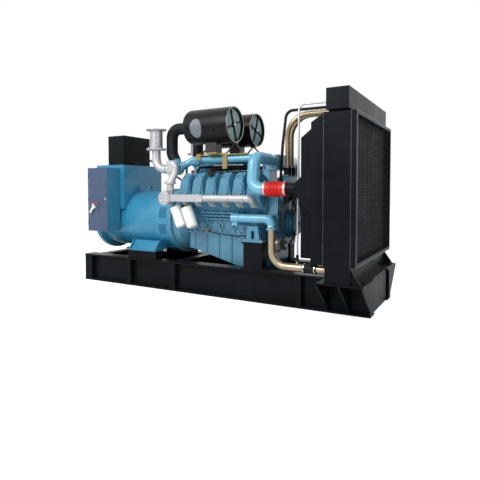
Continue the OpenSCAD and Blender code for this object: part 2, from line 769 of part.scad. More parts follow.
// Gear case with bosses for the crank nose, fan and pump
pump_y = -210;
pump_h = axis_h + 300;
charging_y = -265;
charging_h = axis_h - 204;
gear_top = axis_h + 400;
crank_nose_r = 40;
spindle_r = 24;
boss_l = 30;
module gear_case() {
    thermostat_h = 100;
    color(engine_blue) difference() {
        union() {
            extrude_x(block_end, gear_end) polygon([[-150, pan_top - 90], [-160, pan_top + 30],
                [-320, pan_top + 90], [-330, axis_h + 120], [-300, gear_top - 70], [-170, gear_top],
                [170, gear_top], [300, gear_top - 70], [330, axis_h + 120], [320, pan_top + 90],
                [160, pan_top + 30], [150, pan_top - 90]]);
            x_cylinder(gear_end, gear_end + boss_l, spindle_r + 24, 0, fan_h);
            x_cylinder(gear_end, gear_end + boss_l, spindle_r + 40, pump_y, pump_h);
            block(gear_end - 75, gear_end + 40, -120, 120, gear_top, gear_top + thermostat_h);
        }
        x_cylinder(gear_end - 30, gear_end + 1, crank_nose_r + run_gap);
        x_cylinder(gear_end - 30, gear_end + boss_l + 1, spindle_r + run_gap, 0, fan_h);
        x_cylinder(gear_end - 30, gear_end + boss_l + 1, spindle_r + run_gap, pump_y, pump_h);
    }
}
// Injection pump in the vee: governor at the rear, one delivery holder for each cylinder
module injection_pump() {
    x0 = block_x + 200;
    l = 520;
    governor_l = 110;
    half_w = 60;
    foot = vee_z + 0.5;
    deck_in = bank_point(deck_h, -head_out);
    side = foot + half_w * (deck_in.y - vee_z) / -deck_in.x;
    top = axis_h + 530;
    color(engine_blue) {
        extrude_x(x0, x0 + l) polygon([[0, foot], [half_w, side], [half_w, top - 20], [half_w - 15, top],
            [-half_w + 15, top], [-half_w, top - 20], [-half_w, side]]);
        block(x0 - governor_l, x0, -80, 80, axis_h + 330, top + 20);
        for (i = [0:2 * cyl_n - 1])
            translate([x0 + 30 + i * (l - 60) / (2 * cyl_n - 1), 0, top]) cylinder(h = 55, r = 11);
    }
}
inlet_y = -420;
inlet_z = axis_h + 68;
inlet_x = gear_end - 20;
inlet_drop = 105;
module water_inlet() {
    rear = block_end - 370;
    color(engine_blue) {
        pipe_run([[rear, inlet_y, inlet_z], [inlet_x, inlet_y, inlet_z],
            [inlet_x, inlet_y, inlet_z - inlet_drop]], 70, 44);
        block(gear_end - 95, gear_end - 25, inlet_y, -330 - seat, inlet_z - 40, inlet_z + 40);
        block(rear, rear + 65, inlet_y - 10, -skirt - seat, axis_h - 10, axis_h + 35);
        rod([inlet_x, inlet_y, inlet_z - inlet_drop], [inlet_x, inlet_y, inlet_z - inlet_drop + 14], 56);
    }
}

// Pulley with a groove of radius r for each belt in the list of belt places
module pulley(r, places, y, z) {
    rim = 6;
    first = belt_x + places[0] * belt_step;
    last = belt_x + places[len(places) - 1] * belt_step + belt_w;
    difference() {
        x_cylinder(first - 5, last + 5, r + rim, y, z);
        for (p = places)
            translate([belt_x + p * belt_step - 1, y, z]) rotate([0, 90, 0]) difference() {
                cylinder(h = belt_w + 2, r = r + rim + 1);
                translate([0, 0, -1]) cylinder(h = belt_w + 4, r = r);
            }
    }
}
module crank_pulley() {
    color(gen_blue) {
        pulley(crank_pulley_r, [0, 1], 0, axis_h);
        x_cylinder(gear_end + 5, belt_x - 5, damper_r);
        x_cylinder(gear_end - 25, gear_end + 5, crank_nose_r);
    }
}
module fan_blade() {
    chord = 130;
    camber_r = 150;
    color("#2a2c2e") rotate([0, 0, 38]) linear_extrude(fan_r - 60)
        intersection() {
            difference() {
                translate([0, -camber_r]) circle(camber_r + 2);
                translate([0, -camber_r]) circle(camber_r - 2);
            }
            translate([-chord / 2, -40]) square([chord, 60]);
        }
}
module fan() {
    hub_l = 66;
    hub_r = 96;
    // middle of the blades' depth, from the rear rim of the shroud's ring
    blade_set = 26.5;
    blade_x = ring_x + blade_set;
    color("#2a2c2e") {
        x_cylinder(gear_end - 25, blade_x, spindle_r, 0, fan_h);
        pulley(fan_pulley_r, [1], 0, fan_h);
        x_cylinder(blade_x - hub_l / 2, blade_x + hub_l / 2, hub_r, 0, fan_h);
        intersection() {
            for (i = [0:fan_n - 1])
                translate([blade_x, 0, fan_h]) rotate([i * 360 / fan_n, 0, 0]) translate([0, 0, 60]) fan_blade();
            x_cylinder(blade_x - 100, blade_x + 100, fan_r, 0, fan_h);
        }
    }
}
module pump_pulley() {
    color("#2a2c2e") {
        pulley(pump_pulley_r, [0], pump_y, pump_h);
        x_cylinder(gear_end - 25, belt_x, spindle_r, pump_y, pump_h);
    }
}
charging_r = 76;
module charging_alternator() {
    body_x = gear_end - 76;
    color(silver) difference() {
        union() {
            x_cylinder(body_x, gear_end + 28, charging_r, charging_y, charging_h);
            block(body_x + 20, body_x + 60, charging_y + 40, -153 - seat, charging_h - 20, charging_h + 20);
        }
        x_cylinder(gear_end, gear_end + 30, 12 + run_gap, charging_y, charging_h);
    }
}
module charging_pulley() {
    color("#2a2c2e") {
        pulley(charging_pulley_r, [0], charging_y, charging_h);
        x_cylinder(gear_end + 5, belt_x, 12, charging_y, charging_h);
    }
}
// Belt outline round the pulleys that rounds lists as y, z and groove radius
module belt_area(rounds, grow) {
    hull() for (p = rounds) translate([p[0], p[1]]) circle(p[2] + grow, $fn = 64);
}
module belt_loop(rounds, place) {
    extrude_x(belt_x + place * belt_step, belt_x + place * belt_step + belt_w) difference() {
        belt_area(rounds, belt_gap + belt_t);
        belt_area(rounds, belt_gap);
    }
}
module drive_belts() {
    color(rubber) {
        belt_loop([[charging_y, charging_h, charging_pulley_r], [pump_y, pump_h, pump_pulley_r],
            [0, axis_h, crank_pulley_r]], 0);
        belt_loop([[0, axis_h, crank_pulley_r], [0, fan_h, fan_pulley_r]], 1);
    }
}

// Air cleaners lie over the engine on a bracket frame, fed to the compressors by rubber elbows
cleaner_x = block_x + 34;
saddle_top = cleaner_axis_h - cleaner_r;
bar_foot = top_pipe_z + top_pipe_r + seat;
bar_t = 10;
module air_cleaners() {
    rim = 16;
    spoke_n = 4;
    recess = 40;
    color(black) both_sides() {
        x_turned(cleaner_x, -half_gap, cleaner_axis_h) polygon([[0, 0], [intake_r + 6, 0],
            [cleaner_r - 40, 14], [cleaner_r - 10, 34], [cleaner_r, 60], [cleaner_r, cleaner_l],
            [cleaner_r - rim, cleaner_l], [cleaner_r - rim, cleaner_l - recess], [0, cleaner_l - recess]]);
        translate([cleaner_x + cleaner_l - recess, -half_gap, cleaner_axis_h]) rotate([0, 90, 0]) {
            cylinder(h = recess - 6, r = 26);
            for (i = [0:spoke_n - 1]) rotate([0, 0, i * 90 + 20])
                translate([0, -9, 0]) cube([cleaner_r - rim + 4, 18, recess - 14]);
        }
    }
}
// Bracket frame: a bar along each charge rail with plates down the rail's side, a rest under the middle
// of each cleaner, and struts up to it and to a pad under the cleaner's front
module cleaner_brackets() {
    start_x = block_x + 106;
    end_x = block_x + 751;
    plate_x = [block_x + 136, block_x + 482];
    plate_drop = [65, 150];
    plate_w = 60;
    plate_t = 8;
    rest_x = block_x + 354;
    rest_l = 142;
    pad_x = block_x + 600;
    pad_l = 56;
    strut_r = 9;
    face = top_pipe_y - top_pipe_r - seat;
    inner = top_pipe_y + 30;
    bar_top = bar_foot + bar_t;
    pad_y = -half_gap + 47;
    color("#a08a50") {
        both_sides() {
            block(start_x, end_x, face - plate_t, inner, bar_foot, bar_top);
            for (i = [0:1])
                block(plate_x[i] - plate_w / 2, plate_x[i] + plate_w / 2, face - plate_t, face,
                    bar_foot - plate_drop[i], bar_top + 14);
            difference() {
                union() {
                    block(rest_x - rest_l / 2, rest_x + rest_l / 2, -half_gap - 60, -half_gap + 60, bar_top,
                        saddle_top + 30);
                    block(pad_x - pad_l / 2, pad_x + pad_l / 2, pad_y - 30, pad_y + 30, saddle_top - 12,
                        saddle_top + 30);
                    rod([plate_x[0], face + 12, bar_top - 4],
                        [rest_x - rest_l / 2 + 12, pad_y - 10, saddle_top - 14], strut_r);
                    rod([plate_x[1], face + 12, bar_top - 4], [pad_x, pad_y, saddle_top - 4], strut_r);
                    rod([end_x - 20, face + 20, bar_top - 4], [pad_x, pad_y, saddle_top - 4], strut_r);
                }
                x_cylinder(start_x, end_x, cleaner_r + seat, -half_gap, cleaner_axis_h);
            }
        }
        for (x = plate_x) block(x - 20, x + 20, inner, -inner, bar_foot, bar_top);
    }
}
module intake_elbows() {
    color(rubber) both_sides()
        pipe_run([[cleaner_x, -half_gap, cleaner_axis_h], [elbow_low.x, -half_gap, cleaner_axis_h],
            elbow_low, inlet_end], 100, intake_r);
}

// Coolant pipes between thermostat housing, radiator header and water inlet
upper_x = gear_end - 10;
upper_y = 50;
upper_low = axis_h + 500;
upper_z = header_foot + 105;
lower_y = inlet_y;
lower_z = deck_top + 60;
hose_wall = 8;
sleeve_x = shroud_x - 28;
sleeve_l = 140;
module coolant_pipes() {
    color("#b8a98c") {
        both_sides() pipe_run([[upper_x, -upper_y, upper_low], [upper_x, -upper_y, upper_z],
            [header_x, -upper_y, upper_z]], 230, coolant_r);
        pipe_run([[inlet_x, lower_y, inlet_z - inlet_drop], [inlet_x, lower_y, lower_z],
            [sleeve_x, lower_y, lower_z]], 150, lower_pipe_r);
        x_cylinder(sleeve_x + sleeve_l, panel_x + base_in, lower_pipe_r, lower_y, lower_z);
    }
}
module coolant_hoses() {
    upper_sleeve_l = 110;
    breather_z = upper_z + 35;
    color(rubber) {
        both_sides() difference() {
            rod([upper_x, -upper_y, upper_low], [upper_x, -upper_y, upper_low + upper_sleeve_l], coolant_r + 16);
            rod([upper_x, -upper_y, upper_low - 1], [upper_x, -upper_y, upper_low + upper_sleeve_l + 1],
                coolant_r + seat);
        }
        x_cylinder(sleeve_x, sleeve_x + sleeve_l, lower_pipe_r + hose_wall, lower_y, lower_z);
        pipe_run([[gear_end - 58, -137, gear_top + 1.4], [gear_end - 28, -143, gear_top + 420],
            [gear_end, -110, breather_z], [header_x, -110, breather_z]], 80, 15);
    }
}
module vent_pipe() {
    color("#d8d8d8") pipe_run([[shroud_x - 88, lower_y, lower_z + lower_pipe_r + 1],
        [shroud_x - 112, -330, upper_z + 42], [header_x, -330, upper_z + 42]], 60, vent_r);
}

// Radiator
panel_t = 20;
core_w = radiator_w - 2 * panel_t;
core_x = panel_x + 45;
base_in = 18;
module radiator_core() {
    color("#24272b") block(core_x, guard_x - 6, -core_w / 2, core_w / 2, core_foot_h, header_foot);
}
module radiator_side_panels() {
    color(black) both_sides()
        block(panel_x, guard_x, -radiator_w / 2, -radiator_w / 2 + panel_t, core_foot_h, core_top_h);
}
module header_tank() {
    color(black) {
        block(header_x, header_x + header_d, -header_w / 2, header_w / 2, header_foot, header_foot + header_h);
        translate([header_x + header_d / 2, 0, header_foot + header_h]) cylinder(h = 27, r = 45);
    }
}
module radiator_base() {
    web = 14;
    foot = skid_h;
    color(black) {
        difference() {
            block(panel_x + base_in, guard_x, -radiator_w / 2, radiator_w / 2, foot, core_foot_h);
            for (s = [-1, 1]) block(panel_x + base_in + web, guard_x - web, s > 0 ? 20 : -radiator_w / 2 + web,
                s > 0 ? radiator_w / 2 - web : -20, foot - 1, core_foot_h - web);
        }
        both_sides() extrude_y(-radiator_w / 2 + 20, -radiator_w / 2 + 32)
            polygon([[guard_x, foot], [guard_x + 90, foot], [guard_x, foot + 130]]);
    }
}
// Frame of four bars round one sheet of mesh, set back from both faces
module radiator_guard() {
    post_w = 34;
    mesh_in = 8;
    mesh_t = 6;
    color(black) difference() {
        block(guard_x, grille_x, -radiator_w / 2, radiator_w / 2, core_foot_h, core_top_h);
        for (x = [[guard_x - 1, grille_x - mesh_in - mesh_t], [grille_x - mesh_in, grille_x + 1]])
            block(x[0], x[1], -radiator_w / 2 + post_w, radiator_w / 2 - post_w,
                core_foot_h + post_w, core_top_h - post_w);
    }
}
shroud_foot = core_foot_h + 28;
ring_r = fan_r + fan_gap;
shroud_box_w = core_w - 2 * seat;
tank_w = 150;
// The shroud's roof rises from above the fan's ring to the top of the core
shroud_front_top = max(core_top_h - 191, fan_h + ring_r + 10);
shroud_back_top = max(core_top_h - 75, shroud_front_top + 1);
module shroud_outline(inset) {
    polygon([[shroud_x + inset, shroud_foot + inset], [cooler_x + 1, shroud_foot + inset],
        [cooler_x + 1, shroud_back_top - inset], [shroud_x + inset, shroud_front_top - inset]]);
}
// Side view of the wide box between the charge air coolers, shrunk by inset on all sides but the core's
module cooler_outline(inset) {
    polygon([[cooler_x + inset, core_foot_h + inset], [core_x + inset / 2, core_foot_h + inset],
        [core_x + inset / 2, core_top_h - inset], [panel_x, core_top_h - inset],
        [cooler_x + inset, shroud_back_top - inset]]);
}
module fan_shroud() {
    half_box = shroud_box_w / 2;
    half_bay = half_box - tank_w;
    t = shroud_t;
    color(black) difference() {
        union() {
            extrude_y(-shroud_w / 2, shroud_w / 2) shroud_outline(0);
            extrude_y(-half_box, half_box) cooler_outline(0);
            x_cylinder(ring_x, shroud_x, ring_r + 5, 0, fan_h);
        }
        extrude_y(-shroud_w / 2 + t, shroud_w / 2 - t) shroud_outline(t);
        extrude_y(-half_bay, half_bay) cooler_outline(t);
        block(cooler_x - 1, cooler_x + t + 1, -half_bay, half_bay, shroud_foot + t, shroud_back_top - t);
        x_cylinder(ring_x - 1, shroud_x + t + 1, ring_r, 0, fan_h);
    }
}

skid_rail_near();
skid_rail_far();
skid_cross_beams();
outriggers();
alternator_plinths();
engine_pedestals();
engine_mounts();
alternator_frame();
alternator_end_cover();
alternator_casing();
terminal_box();
breaker_handle();
control_box();
alternator_feet();
adaptor_ring();
flywheel_housing();
crankcase();
oil_pan();
cylinder_heads();
rocker_covers();
exhaust_manifolds();
turbochargers();
exhaust_outlets();
charge_pipes();
charge_hoses();
charge_ducts();
oil_filters();
gear_case();
injection_pump();
water_inlet();
crank_pulley();
fan();
pump_pulley();
charging_alternator();
charging_pulley();
drive_belts();
air_cleaners();
cleaner_brackets();
intake_elbows();
coolant_pipes();
coolant_hoses();
vent_pipe();
radiator_core();
radiator_side_panels();
header_tank();
radiator_base();
radiator_guard();
fan_shroud();
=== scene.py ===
"""Looks of a skid-mounted diesel generator set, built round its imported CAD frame.

Every sub-assembly of the real set is a class: it holds its sizes in metres as fields, models its
small pieces the way they are made by hand, and dresses the CAD nodes that belong to it.
"""

from __future__ import annotations

import json
import logging
import math
from dataclasses import dataclass
from enum import Enum
from typing import Iterable, Optional, Sequence

import bpy
from mathutils import Matrix, Vector


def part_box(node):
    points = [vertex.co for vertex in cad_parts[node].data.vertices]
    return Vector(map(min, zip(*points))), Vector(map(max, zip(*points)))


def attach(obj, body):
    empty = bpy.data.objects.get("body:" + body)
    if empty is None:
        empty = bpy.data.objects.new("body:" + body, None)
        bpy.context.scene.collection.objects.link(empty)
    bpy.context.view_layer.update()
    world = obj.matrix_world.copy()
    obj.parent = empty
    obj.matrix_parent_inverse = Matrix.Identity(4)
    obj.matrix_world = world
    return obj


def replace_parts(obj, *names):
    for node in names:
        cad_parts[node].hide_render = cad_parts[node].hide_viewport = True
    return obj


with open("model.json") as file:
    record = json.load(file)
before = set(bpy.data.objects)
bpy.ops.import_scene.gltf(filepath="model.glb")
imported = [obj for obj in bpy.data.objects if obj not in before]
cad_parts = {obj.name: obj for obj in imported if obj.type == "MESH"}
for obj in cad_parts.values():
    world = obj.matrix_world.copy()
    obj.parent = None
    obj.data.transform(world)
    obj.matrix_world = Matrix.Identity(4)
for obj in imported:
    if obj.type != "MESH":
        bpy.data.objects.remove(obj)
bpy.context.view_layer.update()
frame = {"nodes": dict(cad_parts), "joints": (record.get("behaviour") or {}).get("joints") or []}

LOG = logging.getLogger("generator_set")

Point = tuple[float, float, float]
Piece = bpy.types.Object
Tree = bpy.types.NodeTree
Socket = bpy.types.NodeSocket


# Places that the frame gives


@dataclass(frozen=True)
class Box:
    """Faces of a CAD node's box in metres: back and front along X, near and far along Y, foot and top."""

    back: float
    near: float
    foot: float
    front: float
    far: float
    top: float

    @classmethod
    def of(cls, node: str) -> Box:
        """Reads the box of a CAD node.

        Args:
            node: The node's name.

        Returns:
            The box, rounded to a tenth of a millimetre.
        """
        low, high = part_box(node)
        return cls(*(round(value, 4) for value in (*low, *high)))


def joint_place(name: str) -> Point:
    """Gives the point that a joint turns about.

    Args:
        name: The joint's name.

    Returns:
        The point in metres.
    """
    return next(tuple(joint["pos_m"]) for joint in frame["joints"] if joint["name"] == name)


# The set's two sides, the crank axis and the cylinders of a bank, in metres
SIDES = {"near": -1, "far": 1}
AXIS_Z = joint_place("crank_pulley")[2]
FIRST_CYLINDER_X = -0.220
CYLINDER_PITCH = 0.169
CYLINDERS_X = tuple(FIRST_CYLINDER_X + i * CYLINDER_PITCH for i in range(6))
SET_BODY = "set"

# Numbers of a Mix node's colour sockets
MIX_A, MIX_B, MIX_RESULT = 6, 7, 2

# Colour of settled dust
DUST = "#a9a59c"


# Colour and nodes


def linear(colour: str) -> tuple[float, float, float, float]:
    """Turns an sRGB hex colour into the linear values that a socket takes.

    Args:
        colour: Six hex digits after a hash sign.

    Returns:
        Red, green, blue and alpha.
    """
    parts = [int(colour[i : i + 2], 16) / 255 for i in (1, 3, 5)]
    red, green, blue = (c / 12.92 if c <= 0.04045 else ((c + 0.055) / 1.055) ** 2.4 for c in parts)
    return (red, green, blue, 1.0)


def add_node(
    tree: Tree,
    kind: str,
    inputs: Optional[dict[str | int, object]] = None,
    **settings: object,
) -> bpy.types.Node:
    """Adds a node with its settings, socket values and links.

    Args:
        tree: The node tree of a material or of the world.
        kind: The node's type name.
        inputs: Socket name or number to a value, or to the output socket that feeds it.
        settings: Properties of the node itself.

    Returns:
        The new node.
    """
    made = tree.nodes.new(kind)
    for name, value in settings.items():
        setattr(made, name, value)
    for key, value in (inputs or {}).items():
        socket = made.inputs[key]
        if isinstance(value, Socket):
            tree.links.new(value, socket)
        else:
            socket.default_value = value
    return made


class Relief(Enum):
    """How a surface's fine relief was made."""

    SPRAYED = "sprayed paint with orange peel"
    CAST = "sand-cast skin under paint"
    MOULDED = "moulded rubber or plastic"
    BRUSHED = "drawn or brushed metal"
    FINNED = "radiator fins on flat tubes"
    PAPER = "pressed filter paper"


@dataclass(frozen=True)
class Split:
    """A second colour from a limit on one axis up, as where a painted piece ends and a bare one starts, or
    where one side of a piece gets painted light.
    """

    axis: str
    limit: float
    colour: str
    metallic: float = 0.0
    mirrored: bool = False

    def share(self, tree: Tree, place: Socket) -> Socket:
        """Adds the nodes that tell the two sides apart.

        Args:
            tree: The material's node tree.
            place: The socket with object coordinates.

        Returns:
            The socket that is 1 on the second colour's side.
        """
        along = add_node(tree, "ShaderNodeSeparateXYZ", {0: place}).outputs[self.axis]
        if self.mirrored:
            along = add_node(tree, "ShaderNodeMath", {0: along}, operation="ABSOLUTE").outputs[0]
        above = add_node(tree, "ShaderNodeMath", {0: along, 1: self.limit}, operation="GREATER_THAN")
        return above.outputs[0]


@dataclass(frozen=True)
class Finish:
    """One surface finish: what the thing is made of and how its skin came about.

    Colours are sRGB hex values. Grain and depth are real sizes in millimetres.
    """

    name: str
    colour: str
    shade: str
    roughness: float
    metallic: float = 0.0
    coat: float = 0.0
    relief: Relief = Relief.SPRAYED
    grain_mm: float = 4.0
    depth_mm: float = 0.15
    edge_mm: float = 2.5
    dust: float = 0.15
    patch_mm: float = 350.0
    specular: float = 0.5
    split: Optional[Split] = None

    def height(self, tree: Tree, place: Socket) -> Socket:
        """Adds the pattern that gives the surface its fine relief.

        Args:
            tree: The material's node tree.
            place: The socket with object coordinates.

        Returns:
            The socket that holds the height, from 0 to 1.
        """
        scale = 1000.0 / self.grain_mm
        if self.relief is Relief.FINNED:
            fins, tubes = (add_node(tree, "ShaderNodeTexWave", {"Vector": place, "Scale": scale / share,
                                    "Distortion": 0.0}, bands_direction=axis).outputs["Fac"]
                           for axis, share in (("Z", 20), ("Y", 60)))
            return add_node(tree, "ShaderNodeMath", {0: fins, 1: tubes}, operation="MULTIPLY").outputs[0]
        if self.relief is Relief.BRUSHED:
            along = add_node(tree, "ShaderNodeMapping", {"Vector": place, "Scale": (0.06, 1.0, 1.0)})
            return add_node(tree, "ShaderNodeTexNoise", {"Vector": along.outputs[0], "Scale": scale,
                            "Detail": 3.0}).outputs["Fac"]
        rough = add_node(tree, "ShaderNodeTexNoise", {"Vector": place, "Scale": scale,
                         "Detail": 2.0}).outputs["Fac"]
        if self.relief is not Relief.CAST:
            return rough
        pits = add_node(tree, "ShaderNodeTexVoronoi", {"Vector": place,
                        "Scale": scale * 0.7}).outputs["Distance"]
        return add_node(tree, "ShaderNodeMath", {0: rough, 1: pits}, operation="ADD").outputs[0]

    def build(self) -> bpy.types.Material:
        """Makes the node material.

        Returns:
            The material, built once and then found again by its name.
        """
        known = bpy.data.materials.get(self.name)
        if known:
            return known
        made = bpy.data.materials.new(self.name)
        made.use_nodes = True
        tree = made.node_tree
        tree.nodes.clear()
        place = add_node(tree, "ShaderNodeTexCoord").outputs["Object"]
        clouds = add_node(tree, "ShaderNodeTexNoise", {"Vector": place, "Scale": 1000.0 / self.patch_mm,
                          "Detail": 4.0, "Roughness": 0.6}).outputs["Fac"]
        spread = add_node(tree, "ShaderNodeMapRange", {"Value": clouds, "From Min": 0.35, "From Max": 0.65})
        skin = add_node(tree, "ShaderNodeMix", {0: spread.outputs[0], MIX_A: linear(self.colour),
                        MIX_B: linear(self.shade)}, data_type="RGBA").outputs[MIX_RESULT]
        metal: Socket | float = self.metallic
        if self.split:
            side = self.split.share(tree, place)
            skin = add_node(tree, "ShaderNodeMix", {0: side, MIX_A: skin, MIX_B: linear(self.split.colour)},
                            data_type="RGBA").outputs[MIX_RESULT]
            metal = add_node(tree, "ShaderNodeMapRange", {"Value": side, "To Min": self.metallic,
                             "To Max": self.split.metallic}).outputs[0]
        normal = add_node(tree, "ShaderNodeNewGeometry").outputs["Normal"]
        facing = add_node(tree, "ShaderNodeSeparateXYZ", {0: normal}).outputs["Z"]
        settled = add_node(tree, "ShaderNodeMapRange", {"Value": facing, "From Min": 0.55, "From Max": 1.0,
                           "To Max": self.dust})
        speckle = add_node(tree, "ShaderNodeTexNoise", {"Vector": place, "Scale": 60.0, "Detail": 5.0})
        lying = add_node(tree, "ShaderNodeMath", {0: settled.outputs[0], 1: speckle.outputs["Fac"]},
                         operation="MULTIPLY")
        dusted = add_node(tree, "ShaderNodeMix", {0: lying.outputs[0], MIX_A: skin, MIX_B: linear(DUST)},
                          data_type="RGBA").outputs[MIX_RESULT]
        gloss = add_node(tree, "ShaderNodeMapRange", {
            "Value": clouds, "From Min": 0.3, "From Max": 0.7, "To Min": self.roughness * 0.85,
            "To Max": min(1.0, self.roughness * 1.15 + self.dust * 0.2)})
        inputs: dict[str | int, object] = {
            "Base Color": dusted,
            "Roughness": gloss.outputs[0],
            "Metallic": metal,
            "Specular IOR Level": self.specular,
        }
        if self.coat:
            inputs["Coat Weight"] = self.coat
            inputs["Coat Roughness"] = 0.12
        rounded = add_node(tree, "ShaderNodeBevel", {"Radius": self.edge_mm / 1000}, samples=4)
        relief = add_node(tree, "ShaderNodeBump", {"Height": self.height(tree, place), "Strength": 0.6,
                          "Distance": self.depth_mm / 1000, "Normal": rounded.outputs[0]})
        inputs["Normal"] = relief.outputs[0]
        shader = add_node(tree, "ShaderNodeBsdfPrincipled", inputs)
        add_node(tree, "ShaderNodeOutputMaterial", {"Surface": shader.outputs[0]})
        made.diffuse_color = linear(self.colour)
        return made


# Black enamel on folded edges and weld seams, painted lighter grey: a painted highlight where the edges catch
# the light
EDGE_HIGHLIGHT_ENAMEL = Finish("black_enamel_painted_edge_highlight", "#3a3f46", "#444a52", 0.2, coat=0.6, grain_mm=5.0,
                     depth_mm=0.05, edge_mm=1.0, dust=0.0)
# Alkyd machine enamel, sprayed over primer on welded steel: glossy, with a soft orange peel
SKID_ENAMEL = Finish("black_machine_enamel", "#0f1013", "#15161a", 0.30, grain_mm=5.0, dust=0.02,
                     specular=0.07)
# The same enamel on sheet metal, a little smoother
SHEET_ENAMEL = Finish("black_sheet_enamel", "#0e1015", "#13161c", 0.32, dust=0.02, specular=0.07)
# Powder coat on the control cabinet: finer grain, satin
CABINET_POWDER = Finish("satin_black_powder_coat", "#101415", "#161b1b", 0.44, grain_mm=2.5, depth_mm=0.1,
                        dust=0.02, specular=0.07)
# Blue two-pack paint on the alternator's rolled frame: satin, even
ALTERNATOR_PAINT = Finish("blue_machine_paint", "#287ca0", "#3087ab", 0.33, coat=0.3, dust=0.12)
# Same blue paint on the terminal box door, painted grey-blue: a painted reflection of the lavender light on
# the near side
DOOR_REFLECTION_PAINT = Finish("door_blue_painted_reflection", "#384a64", "#3d506b", 0.42, coat=0.08, dust=0.05)
# The box behind that door, all in one blue paint: painted grey-blue on its near faces as painted reflection,
# and teal, the machine's blue as lit on that side, on its side towards the engine
TERMINAL_SIDE_LIGHT_PAINT = Finish("terminal_box_painted_side_light", "#384a64", "#3d506b", 0.40, coat=0.08, dust=0.06,
                        split=Split("X", -1.2725, "#347a98"))
# Teal engine enamel over iron castings: the casting's skin shows through
ENGINE_ENAMEL = Finish("teal_engine_enamel", "#427d99", "#4f89a3", 0.30, coat=0.35, relief=Relief.CAST,
                       grain_mm=5.0, depth_mm=0.5, edge_mm=5.0, dust=0.12, patch_mm=160.0)
# Teal enamel on tube: no casting skin
PIPE_ENAMEL = Finish("teal_pipe_enamel", "#5ea3c0", "#6aaec9", 0.22, coat=0.45, grain_mm=6.0, depth_mm=0.1,
                     edge_mm=3.0, dust=0.1)
# Aluminium heat paint on exhaust castings: pale, almost matt silver
EXHAUST_SILVER = Finish("aluminium_heat_paint", "#c0c1c2", "#a9abad", 0.38, metallic=0.45, relief=Relief.CAST,
                        grain_mm=3.5, depth_mm=0.35, edge_mm=3.0, dust=0.03, patch_mm=90.0)
# The same paint on the turbines, with the compressors behind them in the engine's teal
TURBO_SILVER = Finish("teal_and_aluminium_housings", "#5697b3", "#62a2bc", 0.38, relief=Relief.CAST,
                      grain_mm=3.5, depth_mm=0.35, edge_mm=3.0, dust=0.03, patch_mm=90.0,
                      split=Split("Y", 0.335, "#b9babc", metallic=0.45, mirrored=True))
# Bright zinc plate on bolts and clamp bands: fine drawn lines
BRIGHT_STEEL = Finish("bright_zinc_steel", "#d4d6d9", "#bfc2c6", 0.24, metallic=1.0, relief=Relief.BRUSHED,
                      grain_mm=1.5, depth_mm=0.05, edge_mm=1.0, dust=0.0, patch_mm=60.0)
# Yellow zinc plate on the cleaner brackets, with the cradles above them painted black
YELLOW_ZINC = Finish("yellow_zinc_and_dark_frame", "#a08c58", "#85764c", 0.34, metallic=0.7,
                     relief=Relief.BRUSHED, grain_mm=2.0, depth_mm=0.05, edge_mm=1.5, dust=0.03,
                     patch_mm=45.0, split=Split("Z", 1.548, "#1c1a17"))
# Plated coolant tube: champagne, drawn
CHAMPAGNE_TUBE = Finish("champagne_plated_tube", "#b9a78a", "#a8977d", 0.28, metallic=0.75,
                        relief=Relief.BRUSHED, grain_mm=2.0, depth_mm=0.04, edge_mm=1.0, dust=0.05,
                        patch_mm=120.0)
# Moulded coolant and intake rubber: dark, fine grain, soft sheen
HOSE_RUBBER = Finish("moulded_black_rubber", "#131416", "#1a1b1d", 0.5, relief=Relief.MOULDED, grain_mm=2.5,
                     depth_mm=0.2, edge_mm=2.0, dust=0.04, patch_mm=80.0, specular=0.18)
# Silicone charge hose: saturated red with a satin skin
SILICONE_RED = Finish("red_silicone_hose", "#c81c10", "#b8180d", 0.42, coat=0.05, relief=Relief.MOULDED,
                      grain_mm=3.0, depth_mm=0.15, edge_mm=2.0, dust=0.02, patch_mm=120.0, specular=0.25)
# Belt rubber with fabric cover: flat black
BELT_RUBBER = Finish("fabric_belt_rubber", "#1a1a1b", "#242425", 0.7, relief=Relief.MOULDED, grain_mm=2.0,
                     depth_mm=0.2, edge_mm=1.0, dust=0.1, patch_mm=60.0)
# Gloss enamel on the oil filter cans
FILTER_WHITE = Finish("white_can_enamel", "#eeeeea", "#e6e6e1", 0.26, coat=0.4, grain_mm=6.0, depth_mm=0.08,
                      edge_mm=3.0, dust=0.06)
# Air cleaner shell: black enamel over drawn sheet
CLEANER_BLACK = Finish("satin_black_shell", "#121111", "#1a1716", 0.28, grain_mm=5.0, depth_mm=0.12,
                       edge_mm=4.0, dust=0.06, patch_mm=220.0, specular=0.16)
# Oiled paper of the cleaner's element behind its spokes
FILTER_PAPER = Finish("pleated_filter_paper", "#9fb6b6", "#b4c6c5", 0.7, relief=Relief.PAPER, grain_mm=1.5,
                      depth_mm=0.1, edge_mm=0.5, dust=0.0, patch_mm=90.0)
# Die-cast aluminium of the charging alternator
DIE_CAST = Finish("die_cast_aluminium", "#c3c5c6", "#aeb0b2", 0.38, metallic=0.9, relief=Relief.CAST,
                  grain_mm=2.5, depth_mm=0.2, edge_mm=1.5, dust=0.05, patch_mm=50.0)
# Machined iron pulleys, oiled dark
DARK_IRON = Finish("oiled_dark_iron", "#2b2d30", "#37393c", 0.36, metallic=0.7, relief=Relief.BRUSHED,
                   grain_mm=2.0, depth_mm=0.05, edge_mm=1.5, dust=0.05, patch_mm=60.0)
# Fan blades in glass-filled plastic
FAN_PLASTIC = Finish("glass_filled_black_plastic", "#232527", "#2d2f31", 0.45, relief=Relief.MOULDED,
                     grain_mm=2.0, depth_mm=0.1, edge_mm=1.5, dust=0.1)
# Finned core in black paint: its fins are drawn coarser than they are, so that they show
CORE_FINS = Finish("black_finned_core", "#101319", "#0b0d11", 0.5, relief=Relief.FINNED,
                   grain_mm=9.0, depth_mm=6.0, edge_mm=0.5, dust=0.0, specular=0.08)
